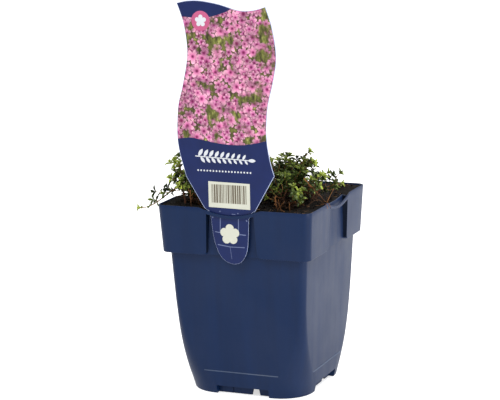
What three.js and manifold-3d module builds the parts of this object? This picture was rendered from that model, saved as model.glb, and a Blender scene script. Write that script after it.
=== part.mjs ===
// Creeping thyme in a square plastic nursery pot, with its plant tag.
//
// The pot is one thin moulded shell: a tapering body whose corners grow rounder towards the ground, a deep
// rim band that stands out from it, and in the middle of each side a recess in that band, crossed at the top
// by a dipping strap. The tag's tongue is pushed down behind the front strap. Potting soil fills the pot,
// and leafy stems rise from it in four crowns, each stem in a hole of its own.
//
// Millimetres. The origin is the middle of the pot's foot, on the ground. +X is to the right of someone who
// faces the tag, +Y goes away from them and +Z is up.

import * as THREE from "three";
import { mergeVertices } from "three/addons/utils/BufferGeometryUtils.js";
import Module from "manifold-3d";

const wasm = await Module();
wasm.setup();

// ---------------------------------------------------------------- driving dimensions

const POT_HEIGHT = 143;
const WALL = 1.2;
const GAP = 0.3; // clearance between pieces that touch on the real object
const FUSE = 0.4; // how far joined shapes run into each other
const PAST = 3; // how far a cutting shape runs past what it cuts

// Outside of the body: height above ground, width across the flats, corner radius.
const BODY_SECTIONS = [
  { z: 0, width: 93, radius: 24 },
  { z: 8, width: 95.9, radius: 23 },
  { z: 18, width: 98.3, radius: 19 },
  { z: 30, width: 99.9, radius: 13.8 },
  { z: 45, width: 101.1, radius: 8.6 },
  { z: 62, width: 102.4, radius: 5.6 },
  { z: 107.5, width: 107.3, radius: 5 },
];
const BAND_FOOT = { z: 107.5, width: 116, radius: 6 };
const BAND_TOP = { z: POT_HEIGHT, width: 120, radius: 6 };
const CORNER_STEPS = 5;
const SHARPEST_CORNER = 0.5;

// Recess in each side of the band: half its width and the distance of its floor from the pot's axis, at its
// foot and at its top, and how far it lies from the side's middle, on the right, back, left and front side.
const RECESS_FOOT = { halfWidth: 19.2, floor: 55.3 };
const RECESS_TOP = { halfWidth: 17.5, floor: 55.9 };
const RECESS_SLANT = 0.7; // its side walls lean out by this much
const RECESS_SHIFTS = [1.7, 0, 0, -1.7];

// The strap over each recess: the rim dips in a parabola, and the strap is the strip below that edge.
const STRAP_DIP = 4.9;
const STRAP_HALF_SPAN = 23.5;
const STRAP_HEIGHT = 2.3;
const STRAP_THICKNESS = 1.4;
const STRAP_OVERLAP = 1; // how far it runs into the band
const STRAP_STEPS = 8;
const BACK_DIP = 2.6; // how far the recess's back wall dips below the rim

// Foot of the pot.
const FLOOR_UNDERSIDE = 6.5;
const SKIRT_THICKNESS = 2.5;
const NOTCH_HALF_WIDTH = 20.7;
const NOTCH_DEPTH = 4;
const DRAIN_CHANNEL = { offset: 9, footWidth: 6.5, topWidth: 3.6 };
const RIB_THICKNESS = 1.8;
const CENTRE_PAD_RADIUS = 7;
const DRAIN_HOLE_RADIUS = 2.8;
const DRAIN_HOLES = [
  [15, 33],
  [27, 19],
];

// Soil.
const SOIL_LEVEL = 140.2;
const SOIL_MOUND = 0.7;
const SOIL_WAVES = [0.5, 0.4];
const SOIL_CELLS = 12;
const SOIL_ROUGHNESS = 1;

// Tag.
const TAG_THICKNESS = 0.6;
const TAG_FACE_Y = -(BAND_TOP.width / 2 - STRAP_THICKNESS - GAP);

// Edges of the tag in [x, z]: from its top right corner down the right side, round the tongue, up the left
// side and along the top.
const TAG_EDGES = {
  right: [
    [28.6, 288.6], [33.3, 274], [36.1, 254], [33.6, 237],
    [29, 218], [27.6, 198], [29.7, 180.6], [33, 168.6],
  ],
  rightNeck: [[17.8, 142.5], [15, 140.7]],
  tongue: [
    [12.6, 136], [12.1, 124.7], [11.2, 114.4], [9.6, 109.2], [7.5, 105.7], [4.8, 103.5], [1.1, 102.5],
    [-3, 103], [-7, 105], [-10.5, 108.6], [-13.1, 114.5], [-15.2, 122], [-16.9, 136],
  ],
  leftNeck: [[-18.5, 140.7], [-21.7, 142.5]],
  left: [
    [-35.5, 165], [-40.3, 182.7], [-41.8, 197], [-40.3, 217],
    [-36.3, 232], [-32.2, 254], [-34.2, 275], [-39.3, 290.4],
  ],
  top: [[-31, 292], [-21, 292.1], [-7, 289.9], [8, 285.8], [19, 286]],
};

// Thyme.
const ROOT_DEPTH = 7;
const STEM_FOOT_RADIUS = 0.85;
const STEM_TIP_RADIUS = 0.6;
const SHOOT_TIP_RADIUS = 0.5;
const HOLE_CLEARANCE = 0.35; // between a stem and the sides of its hole
const LEAF_LENGTH = 5.2;
const LEAF_WIDTH = 3.2;
const LEAF_THICKNESS = 0.8;
const LEAF_DISH = 0.1; // how far a leaf's edge stands above its middle
const LEAF_FOOT = 0.8; // height of the patch of stem that a leaf grows from
const LEAF_CLEARANCE = 0.35; // between leaves that are not a pair
const PAIR_PITCH = 4.8; // between two pairs of leaves on one stem
const FIRST_PAIR = 4.6; // height of a stem's lowest pair above the soil, along the stem
const SHOOT_REACH = [7, 3]; // of a side shoot: the shortest, and how much longer the longest is
const SHOOT_PLACES = [0.25, 0.6]; // of the two side shoots along a stem
const GOLDEN_ANGLE = 2.39996;

// A crown is a group of stems: where it stands on the soil, how many stems it has, how wide their roots and
// their tips spread, how far the cushion of tips is shifted from the roots, how high it rises, and how much
// lower it is at its right side, as a share of that.
const CROWNS = [
  {
    name: "left", x: -36, y: -27, stems: 9, roots: 12,
    spread: [22, 24], shift: [-8, -5], rise: 26, lean: 0,
  },
  {
    name: "right", x: 22, y: -1, stems: 15, roots: 18,
    spread: [35, 36], shift: [5, 3], rise: 27.5, lean: 0.28,
  },
  {
    name: "front", x: 31, y: -27, stems: 5, roots: 8,
    spread: [21, 10], shift: [3, -3], rise: 12, lean: 0,
  },
  {
    name: "back", x: -15, y: 30, stems: 8, roots: 14,
    spread: [31, 20], shift: [-4, 0], rise: 23, lean: 0,
  },
];
const CROWN_FALL = 0.5; // how much lower a crown is at its edge, as a share of its rise

// Stems with a way of their own, from a root at [x, y] through two bends to a tip: the tall arching one at
// the right, the tall one at the left, and the one that trails over the left rim.
const LEADERS = [
  {
    name: "leader_right", root: [30, -3],
    bends: [[29, -3, 158], [27, -1, 178]], tip: [43, 0, 167],
  },
  {
    name: "leader_left", root: [-41, -36],
    bends: [[-41, -37, 152], [-47, -40, 166]], tip: [-52.5, -41, 171.5],
  },
  {
    name: "trailer_left", root: [-44, -43],
    bends: [[-45, -44, 172], [-62, -50, 133]], tip: [-80, -50, 138.5],
  },
];

// Dead, leafless stems.
const DRY_STEM_RADIUS = 0.6;
const DRY_STEM_TAPER = 0.3;
const DRY_STEMS = [
  {
    name: "dry_stem_right", root: [53, -8],
    bends: [[50, -13, 146], [46, -20, 155]], tip: [42, -27, 164],
  },
  {
    name: "dry_stem_front", root: [30, -46],
    bends: [[30, -46, 142], [27, -45, 147]], tip: [28, -43, 152],
  },
  {
    name: "dry_stem_left", root: [-36, -50],
    bends: [[-36, -50, 143], [-37, -51, 149]], tip: [-35, -52, 155],
  },
];

const COLOURS = { pot: 0x2b3c60, soil: 0x2a1d15, tag: 0x24366b, leaf: 0x49602c, dry: 0x8a5a30 };

// ---------------------------------------------------------------- solids

const lerp = THREE.MathUtils.lerp;

/** A closed geometry as a manifold solid. */
function toSolid(geometry) {
  const plain = geometry.index ? geometry.toNonIndexed() : geometry.clone();
  plain.deleteAttribute("normal");
  plain.deleteAttribute("uv");
  const merged = mergeVertices(plain, 1e-3);
  return new wasm.Manifold(
    new wasm.Mesh({
      numProp: 3,
      vertProperties: merged.attributes.position.array,
      triVerts: new Uint32Array(merged.index.array),
    }),
  );
}

/** A manifold solid as a geometry. */
function toGeometry(solid) {
  const mesh = solid.getMesh();
  const geometry = new THREE.BufferGeometry();
  const positions = new Float32Array(mesh.numVert * 3);
  for (let i = 0; i < mesh.numVert; i++) {
    positions.set(mesh.vertProperties.subarray(i * mesh.numProp, i * mesh.numProp + 3), i * 3);
  }
  geometry.setAttribute("position", new THREE.BufferAttribute(positions, 3));
  geometry.setIndex(new THREE.BufferAttribute(new Uint32Array(mesh.triVerts), 1));
  const flat = geometry.toNonIndexed();
  flat.computeVertexNormals();
  return flat;
}

/** A closed geometry from vertices [x, y, z] and triangles of vertex numbers. */
function polyhedron(vertices, triangles) {
  const geometry = new THREE.BufferGeometry();
  geometry.setAttribute("position", new THREE.Float32BufferAttribute(vertices.flat(), 3));
  geometry.setIndex(triangles.flat());
  return geometry;
}

/** Skins over rings of equally many points round the axis, each counter-clockwise, the lowest first. */
function loft(rings) {
  const count = rings[0].length;
  const vertices = [...rings.flat(), [0, 0, rings[0][0][2]], [0, 0, rings.at(-1)[0][2]]];
  const last = (rings.length - 1) * count;
  const [bottom, top] = [vertices.length - 2, vertices.length - 1];
  const triangles = [];
  for (let i = 0; i < count; i++) {
    const next = (i + 1) % count;
    triangles.push([bottom, next, i], [top, last + i, last + next]);
    for (let level = 0; level < last; level += count) {
      const [a, b] = [level + i, level + next];
      triangles.push([a, b, b + count], [a, b + count, a + count]);
    }
  }
  return toSolid(polyhedron(vertices, triangles));
}

/** A shape drawn in X and Z, as a plate between two values of Y. */
function plateXZ(shape, nearY, farY, curveSegments = 6) {
  const depth = farY - nearY;
  const geometry = new THREE.ExtrudeGeometry(shape, { depth, bevelEnabled: false, curveSegments });
  geometry.rotateX(Math.PI / 2); // the shape's Y becomes Z and its depth runs towards -Y
  geometry.translate(0, farY, 0);
  return toSolid(geometry);
}

/** A box between two corners. */
function block([x0, y0, z0], [x1, y1, z1]) {
  const geometry = new THREE.BoxGeometry(x1 - x0, y1 - y0, z1 - z0);
  geometry.translate((x0 + x1) / 2, (y0 + y1) / 2, (z0 + z1) / 2);
  return toSolid(geometry);
}

/** An upright cylinder. */
function post(x, y, z0, z1, radius, sides) {
  const geometry = new THREE.CylinderGeometry(radius, radius, z1 - z0, sides);
  geometry.rotateX(Math.PI / 2);
  geometry.translate(x, y, (z0 + z1) / 2);
  return toSolid(geometry);
}

/** The same solid on each of the pot's four sides, as one. */
function onFourSides(solid) {
  return wasm.Manifold.union([0, 90, 180, 270].map((turn) => solid.rotate([0, 0, turn])));
}

/** A new seeded source of random numbers from 0 to 1 (the "minimal standard" generator). */
function randomSource(seed) {
  let state = seed;
  return () => {
    state = (state * 48271) % 2147483647;
    return state / 2147483647;
  };
}

// ---------------------------------------------------------------- pot

/** Half width, corner radius and recess of the body's outside at a height. */
function bodyAt(z) {
  const above = BODY_SECTIONS.slice(1, -1).findIndex((section) => section.z >= z);
  const upper = above < 0 ? BODY_SECTIONS.length - 1 : above + 1;
  const [low, high] = [BODY_SECTIONS[upper - 1], BODY_SECTIONS[upper]];
  const share = (z - low.z) / (high.z - low.z);
  const half = lerp(low.width, high.width, share) / 2;
  const radius = lerp(low.radius, high.radius, share);
  return { z, half, radius, recess: 0, recessHalf: RECESS_FOOT.halfWidth };
}

/** The same for the band, whose recess reaches in to the recess floor. */
function bandAt(z) {
  const share = (z - BAND_FOOT.z) / (BAND_TOP.z - BAND_FOOT.z);
  const half = lerp(BAND_FOOT.width, BAND_TOP.width, share) / 2;
  const radius = lerp(BAND_FOOT.radius, BAND_TOP.radius, share);
  const recess = half - lerp(RECESS_FOOT.floor, RECESS_TOP.floor, share);
  const recessHalf = lerp(RECESS_FOOT.halfWidth, RECESS_TOP.halfWidth, share);
  return { z, half, radius, recess, recessHalf };
}

/** A ring of points round the pot at a section, moved inwards by an offset. */
function sectionRing({ z, half, radius, recess, recessHalf }, offset = 0) {
  const edge = half - offset;
  const corner = Math.max(radius - offset, SHARPEST_CORNER);
  const centre = edge - corner;
  const wall = recessHalf + offset;
  const arc = [];
  for (let i = 0; i <= CORNER_STEPS; i++) {
    const angle = -Math.PI / 2 + (i / CORNER_STEPS) * (Math.PI / 2);
    arc.push([centre + corner * Math.cos(angle), -centre + corner * Math.sin(angle)]);
  }
  const turned = (points, quarters) => (
    quarters === 0 ? points : turned(points.map(([x, y]) => [-y, x]), quarters - 1)
  );
  const sides = RECESS_SHIFTS.map((shift, number) => {
    const recessed = [
      [edge, shift - wall - RECESS_SLANT],
      [edge - recess, shift - wall],
      [edge - recess, shift + wall],
      [edge, shift + wall + RECESS_SLANT],
    ];
    return turned([...arc, ...recessed], number);
  });
  return sides.flat().map(([x, y]) => [x, y, z]);
}

/** Rings of the pot's inside, moved inwards by an offset from the outside, from a floor up to a top. */
function insideRings(offset, floor, top) {
  const ledge = BAND_FOOT.z + offset;
  const body = BODY_SECTIONS.filter(({ z }) => z > floor && z < BAND_FOOT.z).map(({ z }) => bodyAt(z));
  const sections = [bodyAt(floor), ...body, bodyAt(ledge), bandAt(ledge), bandAt(top)];
  return sections.map((section) => sectionRing(section, offset));
}

/** Height of the rim's dipping edge at a distance from the middle of a side. */
const strapEdge = (x) => POT_HEIGHT - STRAP_DIP * (1 - (x / STRAP_HALF_SPAN) ** 2);

/** The area above a parabola that dips below the rim in the middle of a side. */
function dipShape(dip) {
  const shape = new THREE.Shape();
  shape.moveTo(-STRAP_HALF_SPAN, POT_HEIGHT);
  shape.quadraticCurveTo(0, POT_HEIGHT - 2 * dip, STRAP_HALF_SPAN, POT_HEIGHT);
  shape.lineTo(STRAP_HALF_SPAN, POT_HEIGHT + PAST);
  shape.lineTo(-STRAP_HALF_SPAN, POT_HEIGHT + PAST);
  return shape;
}

/** The straps of the four sides, and what is cut away above them and above the recesses' back walls. */
function strapsAndCuts() {
  const reach = RECESS_TOP.halfWidth + RECESS_SLANT + STRAP_OVERLAP;
  const tangent = (x) => (2 * STRAP_DIP * x) / STRAP_HALF_SPAN ** 2;
  const control = (half) => strapEdge(half) - tangent(half) * half;
  const strip = new THREE.Shape();
  strip.moveTo(-reach, strapEdge(reach) - STRAP_HEIGHT);
  strip.quadraticCurveTo(0, control(reach) - STRAP_HEIGHT, reach, strapEdge(reach) - STRAP_HEIGHT);
  strip.lineTo(reach, POT_HEIGHT);
  strip.lineTo(-reach, POT_HEIGHT);
  const face = -BAND_TOP.width / 2;
  const front = -RECESS_TOP.floor - GAP;
  const plates = [
    plateXZ(strip, face, face + STRAP_THICKNESS, STRAP_STEPS),
    plateXZ(dipShape(STRAP_DIP), face - PAST, front, STRAP_STEPS),
    plateXZ(dipShape(BACK_DIP), front - GAP, -RECESS_TOP.floor + WALL + PAST, STRAP_STEPS),
  ];
  // A plate drawn on the front side, turned to each side and moved along it with that side's recess.
  return plates.map((plate) => wasm.Manifold.union(
    RECESS_SHIFTS.map((shift, number) => plate.translate([shift, 0, 0]).rotate([0, 0, 90 * (number + 1)])),
  ));
}

/** The ribs and the pad under the floor, down to the ground. */
function underfloor() {
  const reach = BODY_SECTIONS[0].width / 2 - SKIRT_THICKNESS + 2 * FUSE;
  const rib = RIB_THICKNESS / 2;
  const top = FLOOR_UNDERSIDE + FUSE;
  return wasm.Manifold.union([
    block([-reach, -rib, 0], [reach, rib, top]),
    block([-rib, -reach, 0], [rib, reach, top]),
    post(0, 0, 0, top, CENTRE_PAD_RADIUS, 16),
  ]);
}

/** The shallow notch at the foot of the front side, and the drain channel through the skirt behind it. */
function notchAndChannel() {
  const face = -BODY_SECTIONS[0].width / 2;
  const { offset, footWidth, topWidth } = DRAIN_CHANNEL;
  const channel = new THREE.Shape();
  const flare = (PAST * (footWidth - topWidth)) / 2 / FLOOR_UNDERSIDE;
  channel.moveTo(offset - footWidth / 2 - flare, -PAST);
  channel.lineTo(offset + footWidth / 2 + flare, -PAST);
  channel.lineTo(offset + topWidth / 2, FLOOR_UNDERSIDE);
  channel.lineTo(offset - topWidth / 2, FLOOR_UNDERSIDE);
  const inner = face + NOTCH_DEPTH + WALL + PAST;
  return [
    block([-NOTCH_HALF_WIDTH, face - PAST, -PAST], [NOTCH_HALF_WIDTH, face + NOTCH_DEPTH, FLOOR_UNDERSIDE]),
    plateXZ(channel, face - PAST, inner),
  ];
}

/** The pot: its shell, with the pocket under the floor, the ribs, the straps and all openings. */
function makePot() {
  const outside = [...BODY_SECTIONS.map(({ z }) => bodyAt(z)), bandAt(BAND_FOOT.z), bandAt(POT_HEIGHT)];
  const shell = loft(outside.map((section) => sectionRing(section)))
    .subtract(loft(insideRings(WALL, FLOOR_UNDERSIDE + WALL, POT_HEIGHT + PAST)));
  const pocket = { ...bodyAt(0), z: -PAST, recessHalf: RECESS_FOOT.halfWidth - SKIRT_THICKNESS };
  const hollow = loft(
    [pocket, { ...pocket, z: FLOOR_UNDERSIDE }].map((section) => sectionRing(section, SKIRT_THICKNESS)),
  );
  // Behind each notch the skirt is thicker, so that a wall is left there.
  const face = -BODY_SECTIONS[0].width / 2;
  const half = NOTCH_HALF_WIDTH + WALL;
  const backing = block([-half, face, -2 * PAST], [half, face + NOTCH_DEPTH + WALL, FLOOR_UNDERSIDE + PAST]);
  const [straps, ...cuts] = strapsAndCuts();
  const [notch, channel] = notchAndChannel().map(onFourSides);
  const inside = FLOOR_UNDERSIDE + WALL;
  const hole = ([x, y]) => post(x, y, FLOOR_UNDERSIDE - PAST, inside + PAST, DRAIN_HOLE_RADIUS, 10);
  const holes = DRAIN_HOLES.map((place) => onFourSides(hole(place)));
  return shell
    .subtract(hollow.subtract(onFourSides(backing)))
    .add(underfloor())
    .add(straps)
    .subtract(wasm.Manifold.union([...cuts, notch, channel, ...holes]));
}

// ---------------------------------------------------------------- soil

/** Height of the soil's surface, without its fine roughness. */
function soilHeight(x, y) {
  const centre = Math.max(0, 1 - (x * x + y * y) / 60 ** 2);
  const [broad, narrow] = SOIL_WAVES;
  const waves = broad * Math.sin(x / 7.1 + 1.3) * Math.cos(y / 8.3) + narrow * Math.sin((x + y) / 4.7);
  return SOIL_LEVEL + SOIL_MOUND * centre + waves;
}

/** A block with the soil's rough surface on top, wider than the pot. */
function roughBlock() {
  const random = randomSource(4021);
  const side = SOIL_CELLS + 1;
  const reach = BAND_TOP.width / 2 + PAST + 1;
  const at = (i) => -reach + (2 * reach * i) / SOIL_CELLS;
  const vertices = [];
  for (let j = 0; j < side; j++) {
    for (let i = 0; i < side; i++) {
      vertices.push([at(i), at(j), soilHeight(at(i), at(j)) + SOIL_ROUGHNESS * (random() - 0.5)]);
    }
  }
  const triangles = [];
  for (let j = 0; j < SOIL_CELLS; j++) {
    for (let i = 0; i < SOIL_CELLS; i++) {
      const a = j * side + i;
      triangles.push([a, a + 1, a + side + 1], [a, a + side + 1, a + side]);
    }
  }
  // The wall and the underside: the border of the grid, dropped to the ground and fanned to a middle point.
  const border = [];
  for (let i = 0; i < SOIL_CELLS; i++) border.push(i);
  for (let j = 0; j < SOIL_CELLS; j++) border.push(j * side + SOIL_CELLS);
  for (let i = SOIL_CELLS; i > 0; i--) border.push(SOIL_CELLS * side + i);
  for (let j = SOIL_CELLS; j > 0; j--) border.push(j * side);
  const first = vertices.length;
  for (const b of border) vertices.push([vertices[b][0], vertices[b][1], 0]);
  const middle = vertices.push([0, 0, 0]) - 1;
  border.forEach((b, k) => {
    const next = (k + 1) % border.length;
    triangles.push([first + k, first + next, border[next]]);
    triangles.push([first + k, border[next], b]);
    triangles.push([first + next, first + k, middle]);
  });
  return toSolid(polyhedron(vertices, triangles));
}

/** The soil that fills the pot, without holes. */
function makeFill() {
  const offset = WALL + GAP;
  return loft(insideRings(offset, FLOOR_UNDERSIDE + offset, POT_HEIGHT + PAST)).intersect(roughBlock());
}

/** The soil, with a plain hole for each stem. */
function makeSoil(fill, stems) {
  const holes = stems.map(({ root, radius }) => {
    const holeRadius = (radius + HOLE_CLEARANCE) / Math.cos(Math.PI / 6);
    const bottom = soilHeight(...root) - ROOT_DEPTH - GAP;
    return post(root[0], root[1], bottom, POT_HEIGHT + PAST, holeRadius, 6);
  });
  return fill.subtract(wasm.Manifold.union(holes));
}

// ---------------------------------------------------------------- tag

/** The tag's outline in X and Z: two waved sides, a dipping top edge, and the tongue below. */
function tagOutline() {
  const at = ([x, z]) => new THREE.Vector2(x, z);
  const outline = new THREE.Shape();
  outline.moveTo(...TAG_EDGES.right[0]);
  outline.splineThru(TAG_EDGES.right.slice(1).map(at));
  for (const point of TAG_EDGES.rightNeck) outline.lineTo(...point);
  outline.lineTo(...TAG_EDGES.tongue[0]);
  outline.splineThru(TAG_EDGES.tongue.slice(1).map(at));
  for (const point of TAG_EDGES.leftNeck) outline.lineTo(...point);
  outline.lineTo(...TAG_EDGES.left[0]);
  outline.splineThru(TAG_EDGES.left.slice(1).map(at));
  outline.splineThru(TAG_EDGES.top.map(at));
  return outline;
}

const makeTag = () => plateXZ(tagOutline(), TAG_FACE_Y, TAG_FACE_Y + TAG_THICKNESS, 3);

// ---------------------------------------------------------------- stems and leaves

/** The skin of a four-sided stem while it is built: its vertices, and the triangles between them. */
class Skin {
  vertices = [];
  triangles = [];

  /** Adds a point and returns its number. */
  addPoint(point) {
    return this.vertices.push(point.toArray()) - 1;
  }

  /** Adds the four corners of a ring, counter-clockwise seen from the stem's tip. */
  addRing({ centre, u, v, radius }) {
    const half = radius * Math.SQRT1_2;
    const corners = [[1, 1], [-1, 1], [-1, -1], [1, -1]];
    return corners.map(([a, b]) => (
      this.addPoint(centre.clone().addScaledVector(u, a * half).addScaledVector(v, b * half))
    ));
  }

  /** Adds a four-cornered face. */
  addQuad([a, b, c, d]) {
    this.triangles.push([a, b, c], [a, c, d]);
  }

  /** The four faces between two rings, each as lower left, lower right, upper right, upper left corner. */
  facesBetween(lower, upper) {
    return [0, 1, 2, 3].map((k) => [lower[k], lower[(k + 1) % 4], upper[(k + 1) % 4], upper[k]]);
  }

  /** Closes a ring with a point. */
  addTip(ring, point) {
    const tip = this.addPoint(point);
    ring.forEach((a, k) => this.triangles.push([a, ring[(k + 1) % 4], tip]));
  }

  /** Grows a leaf from a face of a stem, in place of that face. */
  addLeaf([a, b, bUpper, aUpper], leaf) {
    const { rim, upper, lower } = leafPoints(leaf);
    const edge = rim.map((point) => this.addPoint(point));
    const [top, bottom] = [this.addPoint(upper), this.addPoint(lower)];
    const above = [aUpper, ...edge, bUpper];
    const below = [a, ...edge, b];
    for (let i = 0; i < above.length; i++) {
      const next = (i + 1) % above.length;
      this.triangles.push([above[i], above[next], top], [below[next], below[i], bottom]);
    }
    this.triangles.push([aUpper, a, edge[0]], [b, bUpper, edge.at(-1)]);
  }

  /** The skin as a solid. */
  toSolid() {
    return toSolid(polyhedron(this.vertices, this.triangles));
  }
}

/** The points of a leaf: five round its edge, and the middle of its upper and its lower side. */
function leafPoints({ foot, along, left, normal, length, width }) {
  const at = (s, w, h) => foot.clone()
    .addScaledVector(along, s * length)
    .addScaledVector(left, (w * width) / 2)
    .addScaledVector(normal, h);
  const [wide, broad] = [[0.38, 0.94], [0.74, 0.84]];
  return {
    rim: [
      at(wide[0], wide[1], LEAF_DISH),
      at(broad[0], broad[1], LEAF_DISH),
      at(1, 0, -LEAF_DISH),
      at(broad[0], -broad[1], LEAF_DISH),
      at(wide[0], -wide[1], LEAF_DISH),
    ],
    upper: at(0.5, 0, LEAF_THICKNESS / 2 - LEAF_DISH),
    lower: at(0.5, 0, -LEAF_THICKNESS / 2 - LEAF_DISH),
  };
}

/** A leaf on its own, to measure its distance to others. */
function leafSolid(leaf) {
  const { rim, upper, lower } = leafPoints(leaf);
  const vertices = [leaf.foot, ...rim, upper, lower].map((point) => point.toArray());
  const triangles = [0, 1, 2, 3, 4, 5].flatMap((i) => [[i, (i + 1) % 6, 6], [(i + 1) % 6, i, 7]]);
  return toSolid(polyhedron(vertices, triangles));
}

/** A leaf on a face of a stem: the face's number, its angle from the stem, a turn aside and its size. */
function placeLeaf({ centre, along, u, v, radius }, face, opening, aside, size) {
  const angle = (face + 1) * (Math.PI / 2);
  const faceOut = u.clone().multiplyScalar(Math.cos(angle)).addScaledVector(v, Math.sin(angle));
  const out = faceOut.clone().applyAxisAngle(along, aside);
  const blade = along.clone().multiplyScalar(Math.cos(opening)).addScaledVector(out, Math.sin(opening));
  const normal = along.clone().multiplyScalar(Math.sin(opening)).addScaledVector(out, -Math.cos(opening));
  return {
    foot: centre.clone().addScaledVector(faceOut, radius * Math.SQRT1_2),
    along: blade,
    left: new THREE.Vector3().crossVectors(blade, normal),
    normal,
    length: LEAF_LENGTH * size,
    width: LEAF_WIDTH * size,
  };
}

/** A ring of a stem at a share of a curve's length, its cross directions carried over from `across`. */
function ringAt(curve, share, across, radius) {
  const along = curve.getTangentAt(share);
  const u = across.clone().addScaledVector(along, -across.dot(along)).normalize();
  const v = new THREE.Vector3().crossVectors(along, u);
  return { centre: curve.getPointAt(share), along, u, v, radius };
}

/** A branch: joints along a curve, each with a pair of leaves on opposite faces, a quarter turn apart. */
function growBranch(curve, start, across, [footRadius, tipRadius], random) {
  const length = curve.getLength();
  const count = Math.max(2, Math.floor((length * (1 - start)) / PAIR_PITCH) + 1);
  const half = LEAF_FOOT / 2 / length;
  let carried = across;
  const joints = Array.from({ length: count }, (_, i) => {
    const isTip = i === count - 1;
    const share = start + ((1 - start) * i) / (count - 1) - (isTip ? 2 * half : 0);
    const middle = ringAt(curve, share, carried, lerp(footRadius, tipRadius, share));
    carried = middle.u;
    const ring = (offset) => (
      { ...middle, centre: middle.centre.clone().addScaledVector(middle.along, offset) }
    );
    const opening = isTip ? 0.7 : 1 + 0.2 * random();
    const size = (isTip ? 0.82 : 1) * (0.86 + 0.28 * random());
    const leaves = [i % 2, (i % 2) + 2].map((face) => {
      const leaf = placeLeaf(middle, face, opening, 0.5 * (random() - 0.5), size);
      return { face, leaf };
    });
    return { middle, lower: ring(-LEAF_FOOT / 2), upper: ring(LEAF_FOOT / 2), leaves, shoots: [] };
  });
  return { joints, tip: curve.getPointAt(1) };
}

/** Adds a branch's skin from a ring on. A leaf or a shoot that has no solid of its own is left out. */
function addBranch(skin, firstRing, { joints, tip }, isBare) {
  let ring = firstRing;
  for (const { lower, upper, leaves, shoots } of joints) {
    const [below, above] = [skin.addRing(lower), skin.addRing(upper)];
    skin.facesBetween(ring, below).forEach((face) => skin.addQuad(face));
    skin.facesBetween(below, above).forEach((quad, k) => {
      const grown = isBare ? null : leaves.find(({ face, isKept }) => face === k && isKept);
      const shoot = isBare ? null : shoots.find(({ face, isKept }) => face === k && isKept);
      if (grown) skin.addLeaf(quad, grown.leaf);
      else if (shoot) addBranch(skin, quad, shoot.branch, false);
      else skin.addQuad(quad);
    });
    ring = above;
  }
  skin.addTip(ring, tip);
}

/** The solid of a branch from its first rings on, with or without its leaves and shoots. */
function branchSolid(firstRings, branch, isBare) {
  const skin = new Skin();
  const rings = firstRings.map((ring) => skin.addRing(ring));
  skin.addQuad([...rings[0]].reverse());
  rings.slice(1).forEach((ring, i) => {
    skin.facesBetween(rings[i], ring).forEach((face) => skin.addQuad(face));
  });
  addBranch(skin, rings.at(-1), branch, isBare);
  return skin.toSolid();
}

/** The side shoot from a free face of a joint: it leaves the stem sideways and turns up. */
function growShoot({ middle }, face, random) {
  const { along, u, v, radius, centre } = middle;
  const angle = (face + 1) * (Math.PI / 2);
  const out = u.clone().multiplyScalar(Math.cos(angle)).addScaledVector(v, Math.sin(angle));
  const reach = SHOOT_REACH[0] + SHOOT_REACH[1] * random();
  const foot = centre.clone().addScaledVector(out, radius * Math.SQRT1_2);
  const bend = foot.clone().addScaledVector(out, reach * 0.55).addScaledVector(along, reach * 0.15);
  const end = foot.clone().addScaledVector(out, reach * 0.8).addScaledVector(along, reach * 0.8);
  const across = new THREE.Vector3().crossVectors(out, along);
  const curve = new THREE.QuadraticBezierCurve3(foot, bend, end);
  const radii = [STEM_TIP_RADIUS, SHOOT_TIP_RADIUS];
  return {
    face,
    rings: [{ centre: foot, u: across, v: along.clone().negate(), radius: STEM_TIP_RADIUS }],
    branch: growBranch(curve, 0.55, across, radii, random),
  };
}

/** The curve of a stem above the soil, and the foot of the stem straight below it. */
function stemCurve({ root, bends, tip }) {
  const [x, y] = root;
  const ground = soilHeight(x, y);
  const at = (point) => new THREE.Vector3(...point);
  return {
    curve: new THREE.CubicBezierCurve3(at([x, y, ground + 1]), at(bends[0]), at(bends[1]), at(tip)),
    foot: at([x, y, ground - ROOT_DEPTH]),
  };
}

/** The stems of a crown: upright in the middle, and lower and further out towards its edge. */
function crownStems(crown, random) {
  return Array.from({ length: crown.stems }, (_, k) => {
    const angle = k * GOLDEN_ANGLE + 0.5;
    const out = Math.sqrt((k + 0.4) / crown.stems);
    const [cos, sin] = [Math.cos(angle), Math.sin(angle)];
    const root = [crown.x + crown.roots * out * cos, crown.y + crown.roots * out * sin];
    const end = [
      crown.x + crown.shift[0] + crown.spread[0] * out * cos,
      crown.y + crown.shift[1] + crown.spread[1] * out * sin,
    ];
    const shape = (1 - CROWN_FALL * out * out) * (1 - crown.lean * out * cos);
    const rise = crown.rise * shape * (0.9 + 0.2 * random());
    const ground = soilHeight(...root);
    const between = (share, height) => [
      lerp(root[0], end[0], share),
      lerp(root[1], end[1], share),
      ground + rise * height,
    ];
    const bends = [between(0, 0.5), between(0.55, 0.85)];
    return { name: `stem_${crown.name}_${k + 1}`, root, bends, tip: between(1, 1) };
  });
}

/** Whether a solid keeps the leaf clearance from every one of a list of placed solids. */
function isClear(solid, placed) {
  const box = solid.boundingBox();
  return placed.every((other) => {
    const apart = [0, 1, 2].some((axis) => (
      box.min[axis] > other.box.max[axis] + LEAF_CLEARANCE
      || other.box.min[axis] > box.max[axis] + LEAF_CLEARANCE
    ));
    return apart || solid.minGap(other.solid, LEAF_CLEARANCE * 2) >= LEAF_CLEARANCE;
  });
}

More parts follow.
